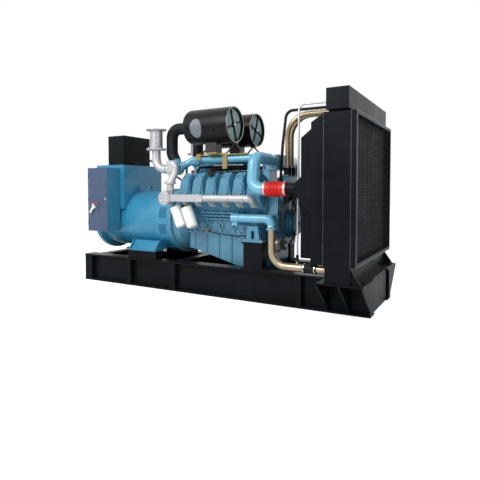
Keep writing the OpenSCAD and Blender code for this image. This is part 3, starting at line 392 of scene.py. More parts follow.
# Guard mesh of expanded steel, painted; catches light on its strands
MESH_BLACK = Finish("painted_expanded_steel", "#080a10", "#0c0f16", 0.36, grain_mm=3.0,
                    depth_mm=0.05, edge_mm=0.5, dust=0.0, specular=0.04)
# Pale enamel on the thin vent tube: glossy, a little silvery
VENT_ENAMEL = Finish("pale_tube_enamel", "#c6c8c8", "#b9bbbc", 0.22, metallic=0.3, coat=0.5, grain_mm=3.0,
                     depth_mm=0.04, edge_mm=1.0, dust=0.03)
# White thermoset of the breaker's handle and of the cleaners' nuts: smooth, faintly glossy
HANDLE_WHITE = Finish("white_thermoset", "#e9e9e6", "#dcdcd8", 0.4, relief=Relief.MOULDED, grain_mm=2.0,
                      depth_mm=0.05, edge_mm=1.5, dust=0.0)
# Blank polycarbonate panel on the near cleaner
PANEL_GREY = Finish("grey_polycarbonate", "#5d646c", "#71787f", 0.35, coat=0.2, grain_mm=8.0, depth_mm=0.05,
                    edge_mm=0.5, dust=0.0, patch_mm=40.0)
# Grey thermoset over the screws of the breaker's plate: smooth, faintly glossy
SWITCH_GREY = Finish("grey_thermoset", "#b9bcc0", "#aaadb1", 0.42, relief=Relief.MOULDED, grain_mm=2.0,
                     depth_mm=0.05, edge_mm=1.0, dust=0.0)
# Red moulded plastic of the small caps and of the bar over the handle
SIGNAL_RED = Finish("red_moulded_cap", "#c8262a", "#b42125", 0.38, relief=Relief.MOULDED, grain_mm=2.0,
                    depth_mm=0.05, edge_mm=1.0, dust=0.0)
# Turned brass of the oil sensor: warm, with fine lathe lines
BRASS = Finish("turned_brass", "#c9a45a", "#b08d49", 0.3, metallic=1.0, relief=Relief.BRUSHED, grain_mm=1.5,
               depth_mm=0.03, edge_mm=0.8, dust=0.0, patch_mm=30.0)


# Modelling by hand


def deselect_all() -> None:
    """Leaves nothing selected and no mode open."""
    if bpy.context.object and bpy.context.object.mode != "OBJECT":
        bpy.ops.object.mode_set(mode="OBJECT")
    bpy.ops.object.select_all(action="DESELECT")


def take(piece: Piece) -> None:
    """Makes one object the only selected and active one."""
    deselect_all()
    piece.select_set(True)
    bpy.context.view_layer.objects.active = piece


def settle(piece: Piece) -> Piece:
    """Puts the object's place, turn and size into its mesh.

    Args:
        piece: The object.

    Returns:
        The same object, at the origin.
    """
    take(piece)
    bpy.ops.object.transform_apply(location=True, rotation=True, scale=True)
    return piece


def turn_to(direction: Vector) -> tuple[float, float, float]:
    """Gives the rotation that lays the Z axis along a direction."""
    return tuple(direction.to_track_quat("Z", "Y").to_euler())


def round_edges(piece: Piece, width: float, segments: int = 2, sharper_than: float = 40.0) -> None:
    """Bevels the sharp edges of a piece in edit mode.

    Args:
        piece: The object.
        width: Width of the bevel in metres.
        segments: Steps of the bevel.
        sharper_than: Smallest angle between faces, in degrees, that is bevelled.
    """
    take(piece)
    bpy.ops.object.mode_set(mode="EDIT")
    bpy.ops.mesh.select_all(action="DESELECT")
    bpy.ops.mesh.select_mode(type="EDGE")
    bpy.ops.mesh.edges_select_sharp(sharpness=math.radians(sharper_than))
    bpy.ops.mesh.bevel(offset=width, segments=segments, affect="EDGES", clamp_overlap=True)
    bpy.ops.object.mode_set(mode="OBJECT")


def smooth(piece: Piece, angle: float = 35.0) -> Piece:
    """Shades a piece smooth.

    Args:
        piece: The object.
        angle: Largest angle between faces, in degrees, that is shaded smooth.

    Returns:
        The same object.
    """
    take(piece)
    bpy.ops.object.shade_smooth_by_angle(angle=math.radians(angle))
    return piece


def bar(name: str, low: Point, high: Point, edge: float = 0.002) -> Piece:
    """Models a bar between two corners, with rounded edges.

    Args:
        name: The piece's name.
        low: Lowest corner in metres.
        high: Highest corner in metres.
        edge: Width of the rounding.

    Returns:
        The new object, with its place in its mesh.
    """
    deselect_all()
    size = [b - a for a, b in zip(low, high)]
    bpy.ops.mesh.primitive_cube_add(size=1, location=[(a + b) / 2 for a, b in zip(low, high)], scale=size)
    piece = settle(bpy.context.object)
    piece.name = name
    if edge:
        round_edges(piece, min(edge, min(size) * 0.4))
    return piece


def rod(name: str, start: Point, end: Point, radius: float, sides: int = 24, edge: float = 0.0015) -> Piece:
    """Models a round bar from start to end, its rims rounded.

    Args:
        name: The piece's name.
        start: Centre of the first end in metres.
        end: Centre of the other end.
        radius: Radius in metres.
        sides: Faces round the bar.
        edge: Width of the rim's rounding.

    Returns:
        The new object.
    """
    deselect_all()
    a, b = Vector(start), Vector(end)
    bpy.ops.mesh.primitive_cylinder_add(vertices=sides, radius=radius, depth=(b - a).length,
                                        location=(a + b) / 2, rotation=turn_to(b - a))
    piece = settle(bpy.context.object)
    piece.name = name
    if edge:
        round_edges(piece, min(edge, radius * 0.3))
    return piece


def ring(name: str, centre: Point, axis: Point, radius: float, thickness: float, sides: int = 48) -> Piece:
    """Models a round ring of wire.

    Args:
        name: The piece's name.
        centre: Its centre in metres.
        axis: Direction of its axis.
        radius: Radius to the middle of the wire.
        thickness: Radius of the wire.
        sides: Steps round the ring.

    Returns:
        The new object.
    """
    deselect_all()
    bpy.ops.mesh.primitive_torus_add(location=centre, rotation=turn_to(Vector(axis)), major_segments=sides,
                                     minor_segments=10, major_radius=radius, minor_radius=thickness)
    piece = settle(bpy.context.object)
    piece.name = name
    return piece


def turned(name: str, profile: Sequence[tuple[float, float]], place: Point, axis: Point,
           sides: int = 32) -> Piece:
    """Models a turned piece: a disc that is extruded and resized step by step.

    Args:
        name: The piece's name.
        profile: Radius and height of each step, from the foot up.
        place: Where the profile's height 0 lies.
        axis: Direction of the height.
        sides: Faces round the piece.

    Returns:
        The new object, closed at both ends.
    """
    deselect_all()
    radius, height = profile[0]
    bpy.ops.mesh.primitive_circle_add(vertices=sides, radius=radius, fill_type="NGON",
                                      location=(0, 0, height))
    piece = settle(bpy.context.object)
    piece.name = name
    bpy.ops.object.mode_set(mode="EDIT")
    bpy.ops.mesh.select_all(action="SELECT")
    for step_radius, step_height in profile[1:]:
        bpy.ops.mesh.extrude_region_move(TRANSFORM_OT_translate={"value": (0, 0, step_height - height)})
        share = step_radius / radius
        bpy.ops.transform.resize(value=(share, share, 1), center_override=(0, 0, step_height))
        radius, height = step_radius, step_height
    bpy.ops.mesh.select_all(action="SELECT")
    bpy.ops.mesh.normals_make_consistent(inside=False)
    bpy.ops.object.mode_set(mode="OBJECT")
    piece.rotation_euler = turn_to(Vector(axis))
    piece.location = place
    return smooth(settle(piece))


def rounded_path(corners: Sequence[Point], bend: float, steps: int = 8) -> list[Vector]:
    """Gives the points of a path whose corners are arcs.

    Args:
        corners: The path's corners in metres.
        bend: Radius of each arc, made smaller where there is no room.
        steps: Points on an arc.

    Returns:
        The points along the path.
    """
    points = [Vector(c) for c in corners]
    path = [points[0]]
    for before, here, after in zip(points, points[1:], points[2:]):
        back, on = (before - here), (after - here)
        turn = math.pi - back.angle(on)
        if turn < 0.02:
            path.append(here)
            continue
        room = min(back.length, on.length) * 0.49
        cut = min(bend * math.tan(turn / 2), room)
        radius = cut / math.tan(turn / 2)
        start, end = here + back.normalized() * cut, here + on.normalized() * cut
        centre = here + (back.normalized() + on.normalized()).normalized() * (radius / math.cos(turn / 2))
        arm = start - centre
        axis = arm.cross(end - centre).normalized()
        path += [centre + Matrix.Rotation(turn * i / steps, 3, axis) @ arm for i in range(steps + 1)]
    path.append(points[-1])
    return path


def tube(name: str, corners: Sequence[Point], radius: float, bend: float = 0.04, sides: int = 12) -> Piece:
    """Models a tube, wire or hose along corners, as a bevelled curve made a mesh.

    Args:
        name: The piece's name.
        corners: The corners of its route in metres.
        radius: Its outer radius.
        bend: Radius of its bends.
        sides: Faces round it.

    Returns:
        The new mesh object.
    """
    deselect_all()
    bpy.ops.curve.primitive_bezier_curve_add(location=(0, 0, 0))
    piece = bpy.context.object
    piece.name = name
    line = piece.data
    line.splines.clear()
    path = rounded_path(corners, bend)
    spline = line.splines.new("POLY")
    spline.points.add(len(path) - 1)
    for point, at in zip(spline.points, path):
        point.co = (at.x, at.y, at.z, 1)
    line.dimensions = "3D"
    line.bevel_depth = radius
    line.bevel_resolution = max(1, sides // 4 - 1)
    line.use_fill_caps = True
    take(piece)
    bpy.ops.object.convert(target="MESH")
    return smooth(bpy.context.object)


def join(name: str, parts: Iterable[Piece]) -> Piece:
    """Joins parts into one object.

    Args:
        name: The joined piece's name.
        parts: The objects; all but the first are used up.

    Returns:
        The joined object.
    """
    found = list(parts)
    deselect_all()
    for part in found:
        part.select_set(True)
    bpy.context.view_layer.objects.active = found[0]
    if len(found) > 1:
        bpy.ops.object.join()
    found[0].name = name
    return found[0]


def copies(piece: Piece, places: Iterable[Matrix]) -> Piece:
    """Copies a piece, modelled at the origin, to each place, and joins the copies.

    Args:
        piece: The pattern piece; it is used up.
        places: One matrix for each copy.

    Returns:
        One object with all copies.
    """
    name = piece.name
    made = []
    for place in places:
        copy = piece.copy()
        copy.data = piece.data.copy()
        copy.matrix_world = place
        bpy.context.collection.objects.link(copy)
        made.append(settle(copy))
    bpy.data.objects.remove(piece)
    return join(name, made)


def at(place: Sequence[float], axis: Sequence[float] = (0, 0, 1), spin: float = 0.0) -> Matrix:
    """Gives the matrix that stands a piece at a place with its Z axis along an axis."""
    turn = Vector(axis).to_track_quat("Z", "Y").to_matrix().to_4x4()
    return Matrix.Translation(Vector(place)) @ turn @ Matrix.Rotation(spin, 4, "Z")


def bolt_circle(centre: Sequence[float], axis: Point, radius: float, count: int,
                phase: float = 0.5) -> list[Matrix]:
    """Gives the places of a bolt circle.

    Args:
        centre: The circle's centre in metres.
        axis: Direction that the heads point to, along X, Y or Z.
        radius: Radius of the circle.
        count: Number of bolts.
        phase: Share of a step by which the first bolt is turned on.

    Returns:
        One matrix for each bolt.
    """
    first, second = (i for i in range(3) if axis[i] == 0)
    places = []
    for i in range(count):
        turn = math.tau * (i + phase) / count
        place = list(centre)
        place[first] += radius * math.cos(turn)
        place[second] += radius * math.sin(turn)
        places.append(at(place, axis))
    return places


def bolt(name: str, across: float) -> Piece:
    """Models a washer with a hexagon head on it, foot at the origin, pointing up.

    Args:
        name: The piece's name.
        across: Width of the head across its flats, in metres.

    Returns:
        The new object.
    """
    deselect_all()
    washer, head = across * 0.12, across * 0.62
    bpy.ops.mesh.primitive_cylinder_add(vertices=20, radius=across * 0.88, depth=washer,
                                        location=(0, 0, washer / 2))
    foot = settle(bpy.context.object)
    bpy.ops.mesh.primitive_cylinder_add(vertices=6, radius=across * 0.577, depth=head,
                                        location=(0, 0, washer + head / 2))
    body = settle(bpy.context.object)
    bpy.ops.object.mode_set(mode="EDIT")
    bpy.ops.mesh.select_all(action="SELECT")
    bpy.ops.mesh.bevel(offset=across * 0.06, segments=1, affect="EDGES")
    bpy.ops.object.mode_set(mode="OBJECT")
    return join(name, [foot, body])


def bolts(name: str, across: float, places: Iterable[Matrix]) -> Piece:
    """Sets one bolt at each place and joins them."""
    return copies(bolt(name, across), places)


def clamp_band(name: str, centre: Point, axis: Point, radius: float, width: float = 0.014,
               screw_side: Point = (0, -1, 0)) -> Piece:
    """Models a hose clamp: a thin band with its screw housing and screw.

    Args:
        name: The piece's name.
        centre: Centre of the band in metres.
        axis: Direction of the hose.
        radius: Outer radius of the hose below it.
        width: Width of the band.
        screw_side: Direction from the hose to the screw.

    Returns:
        The new object.
    """
    along = Vector(axis).normalized()
    middle = Vector(centre)
    half = along * (width / 2)
    band = rod(name + "_band", tuple(middle - half), tuple(middle + half), radius + 0.0018, 48, 0.0008)
    out = Vector(screw_side).normalized()
    side = along.cross(out).normalized()
    seat_at = middle + out * (radius + 0.006)
    housing = rod(name + "_housing", tuple(seat_at - side * 0.014), tuple(seat_at + side * 0.014), 0.0075, 12)
    screw = rod(name + "_screw", tuple(seat_at + side * 0.012), tuple(seat_at + side * 0.028), 0.0055, 6)
    return join(name, [band, housing, screw])


def door_hinges(name: str, pin: tuple[float, float], feet_z: Iterable[float]) -> Piece:
    """Models the upright barrels of a door's hinges.

    Args:
        name: The piece's name.
        pin: X and Y of the hinge pin in metres.
        feet_z: Height of each barrel's foot.

    Returns:
        The barrels as one object.
    """
    barrels = [rod(f"{name}_{i}", (*pin, z), (*pin, z + 0.05), 0.005, 12) for i, z in enumerate(feet_z)]
    return join(name, barrels)


def dress_nodes(finish: Finish, *nodes: str) -> None:
    """Gives CAD nodes one finish all over, in their objects' own slots.

    Args:
        finish: The finish.
        nodes: Names of the nodes.
    """
    for node in nodes:
        part = frame["nodes"][node]
        if not part.material_slots:
            part.data.materials.append(None)
        for slot in part.material_slots:
            slot.link = "OBJECT"
            slot.material = finish.build()


def place_on(piece: Piece, finish: Finish, body: str = SET_BODY) -> Piece:
    """Dresses a finished piece, seats it on its body and reports it.

    Args:
        piece: The finished object.
        finish: Its finish.
        body: The body that carries it.

    Returns:
        The same object.
    """
    piece.data.materials.clear()
    piece.data.materials.append(finish.build())
    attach(piece, body)
    LOG.info("%s: %d faces", piece.name, len(piece.data.polygons))
    return piece


def bank_place(x: float, up: float, out: float, side: int) -> Vector:
    """Gives a point of a cylinder bank in the row frame.

    Args:
        x: Place along the engine.
        up: Distance from the crank axis along the cylinders.
        out: Distance from the cylinders' plane, outward and down.
        side: -1 for the near bank, +1 for the far one.

    Returns:
        The point in metres.
    """
    k = math.sqrt(0.5)
    return Vector((x, side * (up + out) * k, AXIS_Z + (up - out) * k))


def bank_axis(up: float, out: float, side: int) -> Vector:
    """Gives a direction of a cylinder bank in the row frame."""
    k = math.sqrt(0.5)
    return Vector((0, side * (up + out) * k, (up - out) * k)).normalized()


# Sub-assemblies


@dataclass
class Skid:
    """Welded base frame with the plinths and pedestals on it."""

    rail: Box = Box.of("skid_rail_near")
    pedestal: Box = Box.of("engine_pedestals")
    mount_plate_t: float = 0.016
    mount_inset: float = 0.026
    mount_reach: float = 0.095
    foot_bolt_x: tuple[float, float] = (-0.989, -0.693)
    foot_bolt_y: float = 0.416
    foot_bolt_z: float = 0.439
    radiator_bolt_x: float = 1.765
    radiator_bolt_y: tuple[float, float] = (0.650, 0.580)

    def build(self) -> None:
        """Dresses the frame and adds its bolts."""
        dress_nodes(SKID_ENAMEL, "skid_rail_near", "skid_rail_far", "skid_cross_beams", "outriggers",
                    "alternator_plinths", "engine_pedestals")
        middle = (self.pedestal.back + self.pedestal.front) / 2
        plate_top = self.pedestal.top + self.mount_plate_t
        mounts, feet, radiator = [], [], []
        for side in SIDES.values():
            mount_y = side * (self.pedestal.far - self.mount_inset)
            mounts += [at((middle + reach, mount_y, plate_top))
                       for reach in (-self.mount_reach, self.mount_reach)]
            feet += [at((x, side * self.foot_bolt_y, self.foot_bolt_z)) for x in self.foot_bolt_x]
            radiator += [at((self.radiator_bolt_x, side * y, self.rail.top)) for y in self.radiator_bolt_y]
        place_on(bolts("mount_bolts", 0.020, mounts), BRIGHT_STEEL)
        place_on(bolts("alternator_foot_bolts", 0.015, feet), ALTERNATOR_PAINT)
        place_on(bolts("radiator_foot_bolts", 0.024, radiator), SKID_ENAMEL)


@dataclass
class Alternator:
    """Round three-phase machine with its casing, terminal box and control box."""

    cover: Box = Box.of("alternator_end_cover")
    casing: Box = Box.of("alternator_casing")
    terminal: Box = Box.of("terminal_box")
    control: Box = Box.of("control_box")
    breaker: Point = joint_place("breaker_handle")
    flange_x: float = -0.722
    flange_r: float = 0.353
    cover_rim_t: float = 0.030
    cover_r: float = 0.366
    seam_x: float = -1.238
    back_screw_x: float = -1.635
    screws_z: tuple[float, ...] = (0.940, 1.180, 1.415)
    latch_at: tuple[float, float] = (-1.262, 0.922)
    latch_size: Point = (0.040, 0.005, 0.010)
    door_gap: float = 0.007
    door_t: float = 0.003
    hinge_z: float = 1.000
    lock_z: float = 1.030
    lock_inset: float = 0.030
    plate_half: float = 0.060
    plate_t: float = 0.008
    screw_reach: tuple[float, float] = (0.051, 0.034)
    screws_drop: float = 0.012
    cabinet_gap: float = 0.012
    cabinet_door_t: float = 0.002
    loom_radius: float = 0.011
    loom: tuple[Point, ...] = (
        (-1.313, -0.10, 1.488), (-1.18, -0.11, 1.463), (-1.03, -0.10, 1.512), (-0.86, -0.11, 1.450),
        (-0.70, -0.10, 1.360), (-0.50, -0.10, 1.240), (-0.30, -0.10, 1.200), (-0.28, -0.10, 1.108))

    def build(self) -> None:
        """Dresses the machine and adds its doors, bolts, switch and loom."""
        dress_nodes(ALTERNATOR_PAINT, "alternator_frame", "alternator_end_cover", "alternator_casing",
                    "alternator_feet", "adaptor_ring")
        # The terminal box's grey-blue near faces and teal engine-side faces are painted light on one blue
        # paint
        dress_nodes(TERMINAL_SIDE_LIGHT_PAINT, "terminal_box")
        dress_nodes(CABINET_POWDER, "control_box")
        dress_nodes(HANDLE_WHITE, "breaker_handle")
        self.frame_bolts()
        self.door()
        self.switch()
        self.cabinet()
        place_on(tube("control_loom", self.loom, self.loom_radius, 0.05, 12), HOSE_RUBBER)

    def frame_bolts(self) -> None:
        """Adds the bolt circles of the machine's flanges and the screws of its casing."""
        rim_x = self.cover.back + self.cover_rim_t
        places = bolt_circle((self.flange_x, 0, AXIS_Z), (-1, 0, 0), self.flange_r, 16)
        places += bolt_circle((rim_x, 0, AXIS_Z), (-1, 0, 0), self.cover_r, 12)
        for z in self.screws_z:
            places += [at((self.seam_x, side * self.casing.far, z), (0, side, 0)) for side in SIDES.values()]
            places.append(at((self.back_screw_x, self.casing.far, z), (0, 1, 0)))
        place_on(bolts("alternator_flange_bolts", 0.012, places), ALTERNATOR_PAINT)

    def door(self) -> None:
        """Adds the terminal box door with its hinges and lock, and the latch of the casing beside it."""
        box, gap = self.terminal, self.door_gap
        face = box.near + self.plate_t
        panel = bar("terminal_door", (box.back + gap, face - self.door_t, box.foot + gap),
                    (box.front - gap, face, box.top - gap), 0.001)
        # The door's grey-blue is a painted reflection on the near side
        place_on(panel, DOOR_REFLECTION_PAINT)
        hinges = door_hinges("terminal_hinges", (box.back + 0.012, face - 0.006),
                             (box.foot + 0.07, self.hinge_z, box.top - 0.12))
        place_on(hinges, DOOR_REFLECTION_PAINT)
        steps = [(0.013, 0.0), (0.013, 0.006), (0.010, 0.009), (0.004, 0.010)]
        lock = turned("terminal_lock", steps, (box.front - self.lock_inset, face - self.door_t, self.lock_z),
                      (0, -1, 0), 24)
        place_on(lock, BRIGHT_STEEL)
        (x, z), (length, depth, height) = self.latch_at, self.latch_size
        latch = bar("casing_latch", (x, self.casing.near - depth, z), 
                    (x + length, self.casing.near, z + height), 0.001)
        place_on(latch, BRIGHT_STEEL)

    def switch(self) -> None:
        """Adds the red bar and the screws of the breaker's plate."""
        (x, y, z), half = self.breaker, self.plate_half
        red = bar("breaker_red_bar", (x - half + 0.004, y - 0.003, z + half - 0.015),
                  (x + half - 0.004, y, z + half - 0.003), 0.001)
        place_on(red, SIGNAL_RED)
        reach_x, reach_z = self.screw_reach
        places = [at((x + dx, y, z + dz - self.screws_drop), (0, -1, 0))
                  for dx in (-reach_x, reach_x) for dz in (-reach_z, reach_z)]
        place_on(bolts("breaker_screws", 0.006, places), SWITCH_GREY)

    def cabinet(self) -> None:
        """Adds the door of the control box with its hinges."""
        box, gap = self.control, self.cabinet_gap
        panel = bar("control_door", (box.front, box.near + gap, box.foot + gap),
                    (box.front + self.cabinet_door_t, box.far - gap, box.top - gap), 0.0008)
        place_on(panel, CABINET_POWDER)
        hinges = door_hinges("control_hinges", (box.front + 0.005, box.near + 0.02),
                             (box.foot + 0.05, box.top - 0.10))
        place_on(hinges, CABINET_POWDER)


@dataclass
class Engine:
    """Vee engine block with heads, covers and what is bolted to them."""

    block: Box = Box.of("crankcase")
    pan: Box = Box.of("oil_pan")
    pump: Box = Box.of("injection_pump")
    head_top: float = 0.505
    cover_top: float = 0.645
    half_block: float = 0.250
    half_skirt: float = 0.235
    cover_bolts_x: tuple[float, float] = (-0.032, 0.032)
    cover_bolts_out: float = -0.060
    head_bolts_x: tuple[float, float] = (-0.062, 0.062)
    head_bolts_out: float = 0.145
    head_bolts_drop: float = 0.030
    gear_face_x: float = 0.840
    gear_bolts: tuple[tuple[float, float], ...] = (
        (0.30, 0.96), (0.312, 0.86), (0.30, 0.76), (0.26, 1.13), (0.13, 1.165))
    housing_x: float = -0.472
    housing_r: float = 0.375
    pan_bolts: int = 13
    pan_bolts_start: float = 0.050
    pan_bolts_inset: float = 0.008
    pan_rail_t: float = 0.022
    pan_bolt_pitch: float = 0.080
    holders_x: tuple[float, float] = (-0.090, 0.370)
    line_radius: float = 0.0035
    lines_top_z: tuple[float, float] = (1.392, 1.384)
    line_ends: tuple[float, float] = (0.545, -0.142)
    capped: tuple[Point, ...] = ((-0.377, -0.200, 1.395), (-0.300, -0.190, 1.335))
    stub_foot_z: float = 1.100
    breather_x: float = 0.102
    wall_low: tuple[float, float] = (0.235, 0.820)
    wall_high: tuple[float, float] = (0.378, 0.953)
    side_tube_x: tuple[float, float] = (-0.085, 0.395)
    side_clips_x: tuple[float, ...] = (-0.072, 0.056, 0.185, 0.314, 0.382)
    side_tube_rows: tuple[float, ...] = (0.12, 0.40, 0.66)
    plug_z: float = 0.742
    plug_screw_rise: float = 0.030
    sensor_at: tuple[float, float] = (-0.045, 0.6865)
    cable: tuple[Point, ...] = (
        (-0.045, -0.288, 0.6865), (0.02, -0.300, 0.676), (0.18, -0.285, 0.652),
        (0.36, -0.290, 0.640), (0.472, -0.295, 0.656), (0.52, -0.252, 0.700))
    inlet_clamp_at: Point = (0.820, -0.420, 0.778)

    def build(self) -> None:
        """Dresses the engine and adds its fasteners, lines and fittings."""
        dress_nodes(ENGINE_ENAMEL, "flywheel_housing", "crankcase", "oil_pan", "cylinder_heads",
                    "rocker_covers", "gear_case", "engine_mounts", "injection_pump")
        dress_nodes(PIPE_ENAMEL, "charge_pipes", "water_inlet")
        dress_nodes(FILTER_WHITE, "oil_filters")
        self.fasteners()
        self.injection_lines()
        self.valley()
        self.side_tubes()
        self.core_plugs()
        self.oil_sensor()
        band = clamp_band("inlet_clamp", self.inlet_clamp_at, (0, 0, 1), 0.0442, 0.012)
        place_on(band, BRIGHT_STEEL)

    def on_wall(self, up: float, off: float) -> tuple[float, float]:
        """Gives a point over the block's slanted side wall.

        Args:
            up: Share of the way from the wall's foot to its top.
            off: Distance from the wall, square to it.

        Returns:
            Distance from the middle plane and height, in metres.
        """
        (y0, z0), (y1, z1) = self.wall_low, self.wall_high
        length = math.hypot(y1 - y0, z1 - z0)
        run, rise = y1 - y0, z1 - z0
        return (y0 + run * up + off * rise / length, z0 + rise * up - off * run / length)

    def fasteners(self) -> None:
        """Adds the bolts of the covers, the heads, the pan, the gear case and the housing."""
        places = []
        head_bolts_up = self.head_top - self.head_bolts_drop
        pan_bolts_x = [self.block.back + self.pan_bolts_start + i * self.pan_bolt_pitch
                       for i in range(self.pan_bolts)]
        for side in SIDES.values():
            up, out = bank_axis(1, 0, side), bank_axis(0, 1, side)
            for x in CYLINDERS_X:
                places += [at(bank_place(x + dx, self.cover_top, self.cover_bolts_out, side), up)
                           for dx in self.cover_bolts_x]
                places += [at(bank_place(x + dx, head_bolts_up, self.head_bolts_out, side), out)
                           for dx in self.head_bolts_x]
            rail_y = side * (self.half_block - self.pan_bolts_inset)
            places += [at((x, rail_y, self.pan.top + self.pan_rail_t)) for x in pan_bolts_x]
            places += [at((self.gear_face_x, side * y, z), (1, 0, 0)) for y, z in self.gear_bolts]
        places += bolt_circle((self.housing_x, 0, AXIS_Z), (1, 0, 0), self.housing_r, 20)
        place_on(bolts("engine_bolts", 0.015, places), ENGINE_ENAMEL)

    def injection_lines(self) -> None:
        """Bends one steel line from each delivery holder to its own head."""
        (first, last), (over, beside) = self.holders_x, self.lines_top_z
        count = 2 * len(CYLINDERS_X)
        lines = []
        for i in range(count):
            side = -1 if i % 2 == 0 else 1
            x = first + (last - first) * i / (count - 1)
            end = bank_place(CYLINDERS_X[i // 2], *self.line_ends, side)
            route = [(x, 0, self.pump.top - 0.01), (x, side * 0.012, over), (end.x, side * 0.17, beside),
                     (end.x, end.y - side * 0.012, end.z + 0.03), tuple(end)]
            lines.append(tube(f"line_{i}", route, self.line_radius, 0.02, 8))
        place_on(join("injection_lines", lines), DARK_IRON)

    def valley(self) -> None:
        """Lays the black hoses over the pump and sets the small caps beside the covers."""
        hoses = [
            tube("valley_hose_near", [(-0.30, -0.125, 1.20), (-0.26, -0.125, 1.40), (0.10, -0.120, 1.402),
                                      (0.54, -0.125, 1.398)], 0.015, 0.05, 12),
            tube("valley_hose_far", [(-0.24, 0.118, 1.382), (0.18, 0.112, 1.390), (0.54, 0.118, 1.382)],
                 0.026, 0.05, 16),
            tube("valley_hose_low", [(-0.24, 0.085, 1.335), (0.18, 0.090, 1.340), (0.54, 0.085, 1.335)],
                 0.020, 0.05, 12),
        ]
        place_on(join("valley_hoses", hoses), HOSE_RUBBER)
        stubs = [rod(f"stub_{i}", (x, y, self.stub_foot_z), (x, y, z), 0.014, 20)
                 for i, (x, y, z) in enumerate(self.capped)]
        place_on(join("capped_stubs", stubs), ENGINE_ENAMEL)
        caps = [turned(f"red_cap_{i}", [(0.018, 0.0), (0.018, 0.026), (0.013, 0.031)], place, (0, 0, 1), 20)
                for i, place in enumerate(self.capped)]
        place_on(join("valley_red_caps", caps), SIGNAL_RED)
        steps = [(0.020, 0.0), (0.020, 0.016), (0.036, 0.018), (0.036, 0.030), (0.030, 0.034)]
        foot = bank_place(self.breather_x, self.cover_top, -0.082, -1)
        cap = turned("cover_breather_cap", steps, tuple(foot), tuple(bank_axis(1, 0, -1)), 28)
        place_on(cap, HOSE_RUBBER)

    def side_tubes(self) -> None:
        """Lays the cooler's tubes along the block's near wall, each on its row of clips."""
        start, end = self.side_tube_x
        pieces = []
        for i, up in enumerate(self.side_tube_rows):
            (y, z), (foot_y, foot_z) = self.on_wall(up, 0.022), self.on_wall(up, -0.004)
            pieces.append(tube(f"side_tube_{i}", [(start, -y, z), (end, -y, z)], 0.012, 0.02, 12))
            pieces += [rod(f"side_clip_{i}_{k}", (x, -foot_y, foot_z), (x, -y, z), 0.017, 16)
                       for k, x in enumerate(self.side_clips_x)]
        place_on(join("side_tubes", pieces), ENGINE_ENAMEL)

    def core_plugs(self) -> None:
        """Sets a pressed plug below each cylinder, between its four screws."""
        plugs, screws = [], []
        for side in SIDES.values():
            for x in CYLINDERS_X:
                plugs.append(at((x + 0.001, side * (self.half_skirt - 0.001), self.plug_z), (0, side, 0)))
                screws += [at((x + dx, side * self.half_skirt, self.plug_z + dz), (0, side, 0))
                           for dx in (-0.05, 0.05) for dz in (self.plug_screw_rise, -self.plug_screw_rise)]
        steps = [(0.036, 0.0), (0.036, 0.012), (0.030, 0.017), (0.022, 0.015)]
        plug = turned("core_plugs", steps, (0, 0, 0), (0, 0, 1), 32)
        place_on(copies(plug, plugs), ENGINE_ENAMEL)
        place_on(bolts("side_screws", 0.014, screws), ENGINE_ENAMEL)

    def oil_sensor(self) -> None:
        """Screws the brass sensor into the block and leads its cable forward along the pan."""
        x, z = self.sensor_at
        steps = [(0.012, 0.0), (0.012, 0.012), (0.017, 0.013), (0.017, 0.024), (0.010, 0.026), (0.010, 0.040)]
        sensor = turned("oil_sensor", steps, (x, -self.half_block, z), (0, -1, 0), 24)
        place_on(sensor, BRASS)
        place_on(tube("sensor_cable", self.cable, 0.006, 0.05, 12), HOSE_RUBBER)


@dataclass
class Exhaust:
    """Exhaust logs, turbochargers and their outlets."""

    outlets: Box = Box.of("exhaust_outlets")
    log_y: float = 0.505
    log_z: float = 1.050
    log_bolt_shift: float = 0.030
    log_bolt_rise: float = 0.039
    port_up: float = 0.4475
    port_out: float = 0.159
    port_studs_x: tuple[float, float] = (-0.029, 0.029)
    outlet_x: float = -0.660
    outlet_y: float = 0.400
    flange_t: float = 0.012
    flange_r: float = 0.100
    leg: Point = (-0.403, 0.475, 1.226)
    leg_r: float = 0.051
    log_end: tuple[float, float] = (-0.428, 0.560)
    log_end_r: float = 0.056
    turbine_clamp: tuple[float, float] = (-0.512, 1.377)
    turbine_r: float = 0.0494

    def build(self) -> None:
        """Dresses the hot parts and adds their studs, flange bolts and clamps."""
        dress_nodes(TURBO_SILVER, "turbochargers")
        dress_nodes(EXHAUST_SILVER, "exhaust_manifolds", "exhaust_outlets")
        places = []
        for side in SIDES.values():
            places += [at((x + self.log_bolt_shift, side * self.log_y, self.log_z + self.log_bolt_rise))
                       for x in CYLINDERS_X[:-1]]
            places += [at(bank_place(x + dx, self.port_up, self.port_out, side), bank_axis(0, 1, side))
                       for x in CYLINDERS_X for dx in self.port_studs_x]
            outlet = (self.outlet_x, side * self.outlet_y)
            foot = self.outlets.foot
            places += bolt_circle((*outlet, foot + self.flange_t), (0, 0, 1), self.flange_r, 8)
            places += bolt_circle((*outlet, foot), (0, 0, -1), self.flange_r, 8)
            leg_x, leg_y, leg_z = self.leg
            places += bolt_circle((leg_x, side * leg_y, leg_z), (0, 0, 1), self.leg_r, 4)
            end_x, end_y = self.log_end
            places += bolt_circle((end_x, side * end_y, self.log_z), (0, side, 0), self.log_end_r, 4)
        place_on(bolts("exhaust_studs", 0.014, places), BRIGHT_STEEL)
        clamp_x, clamp_z = self.turbine_clamp
        clamps = [clamp_band(f"turbine_clamp_{word}", (clamp_x, side * self.outlet_y, clamp_z), (1, 0, 0),
                             self.turbine_r, 0.016, (0, side, 0.2)) for word, side in SIDES.items()]
        place_on(join("turbine_clamps", clamps), BRIGHT_STEEL)


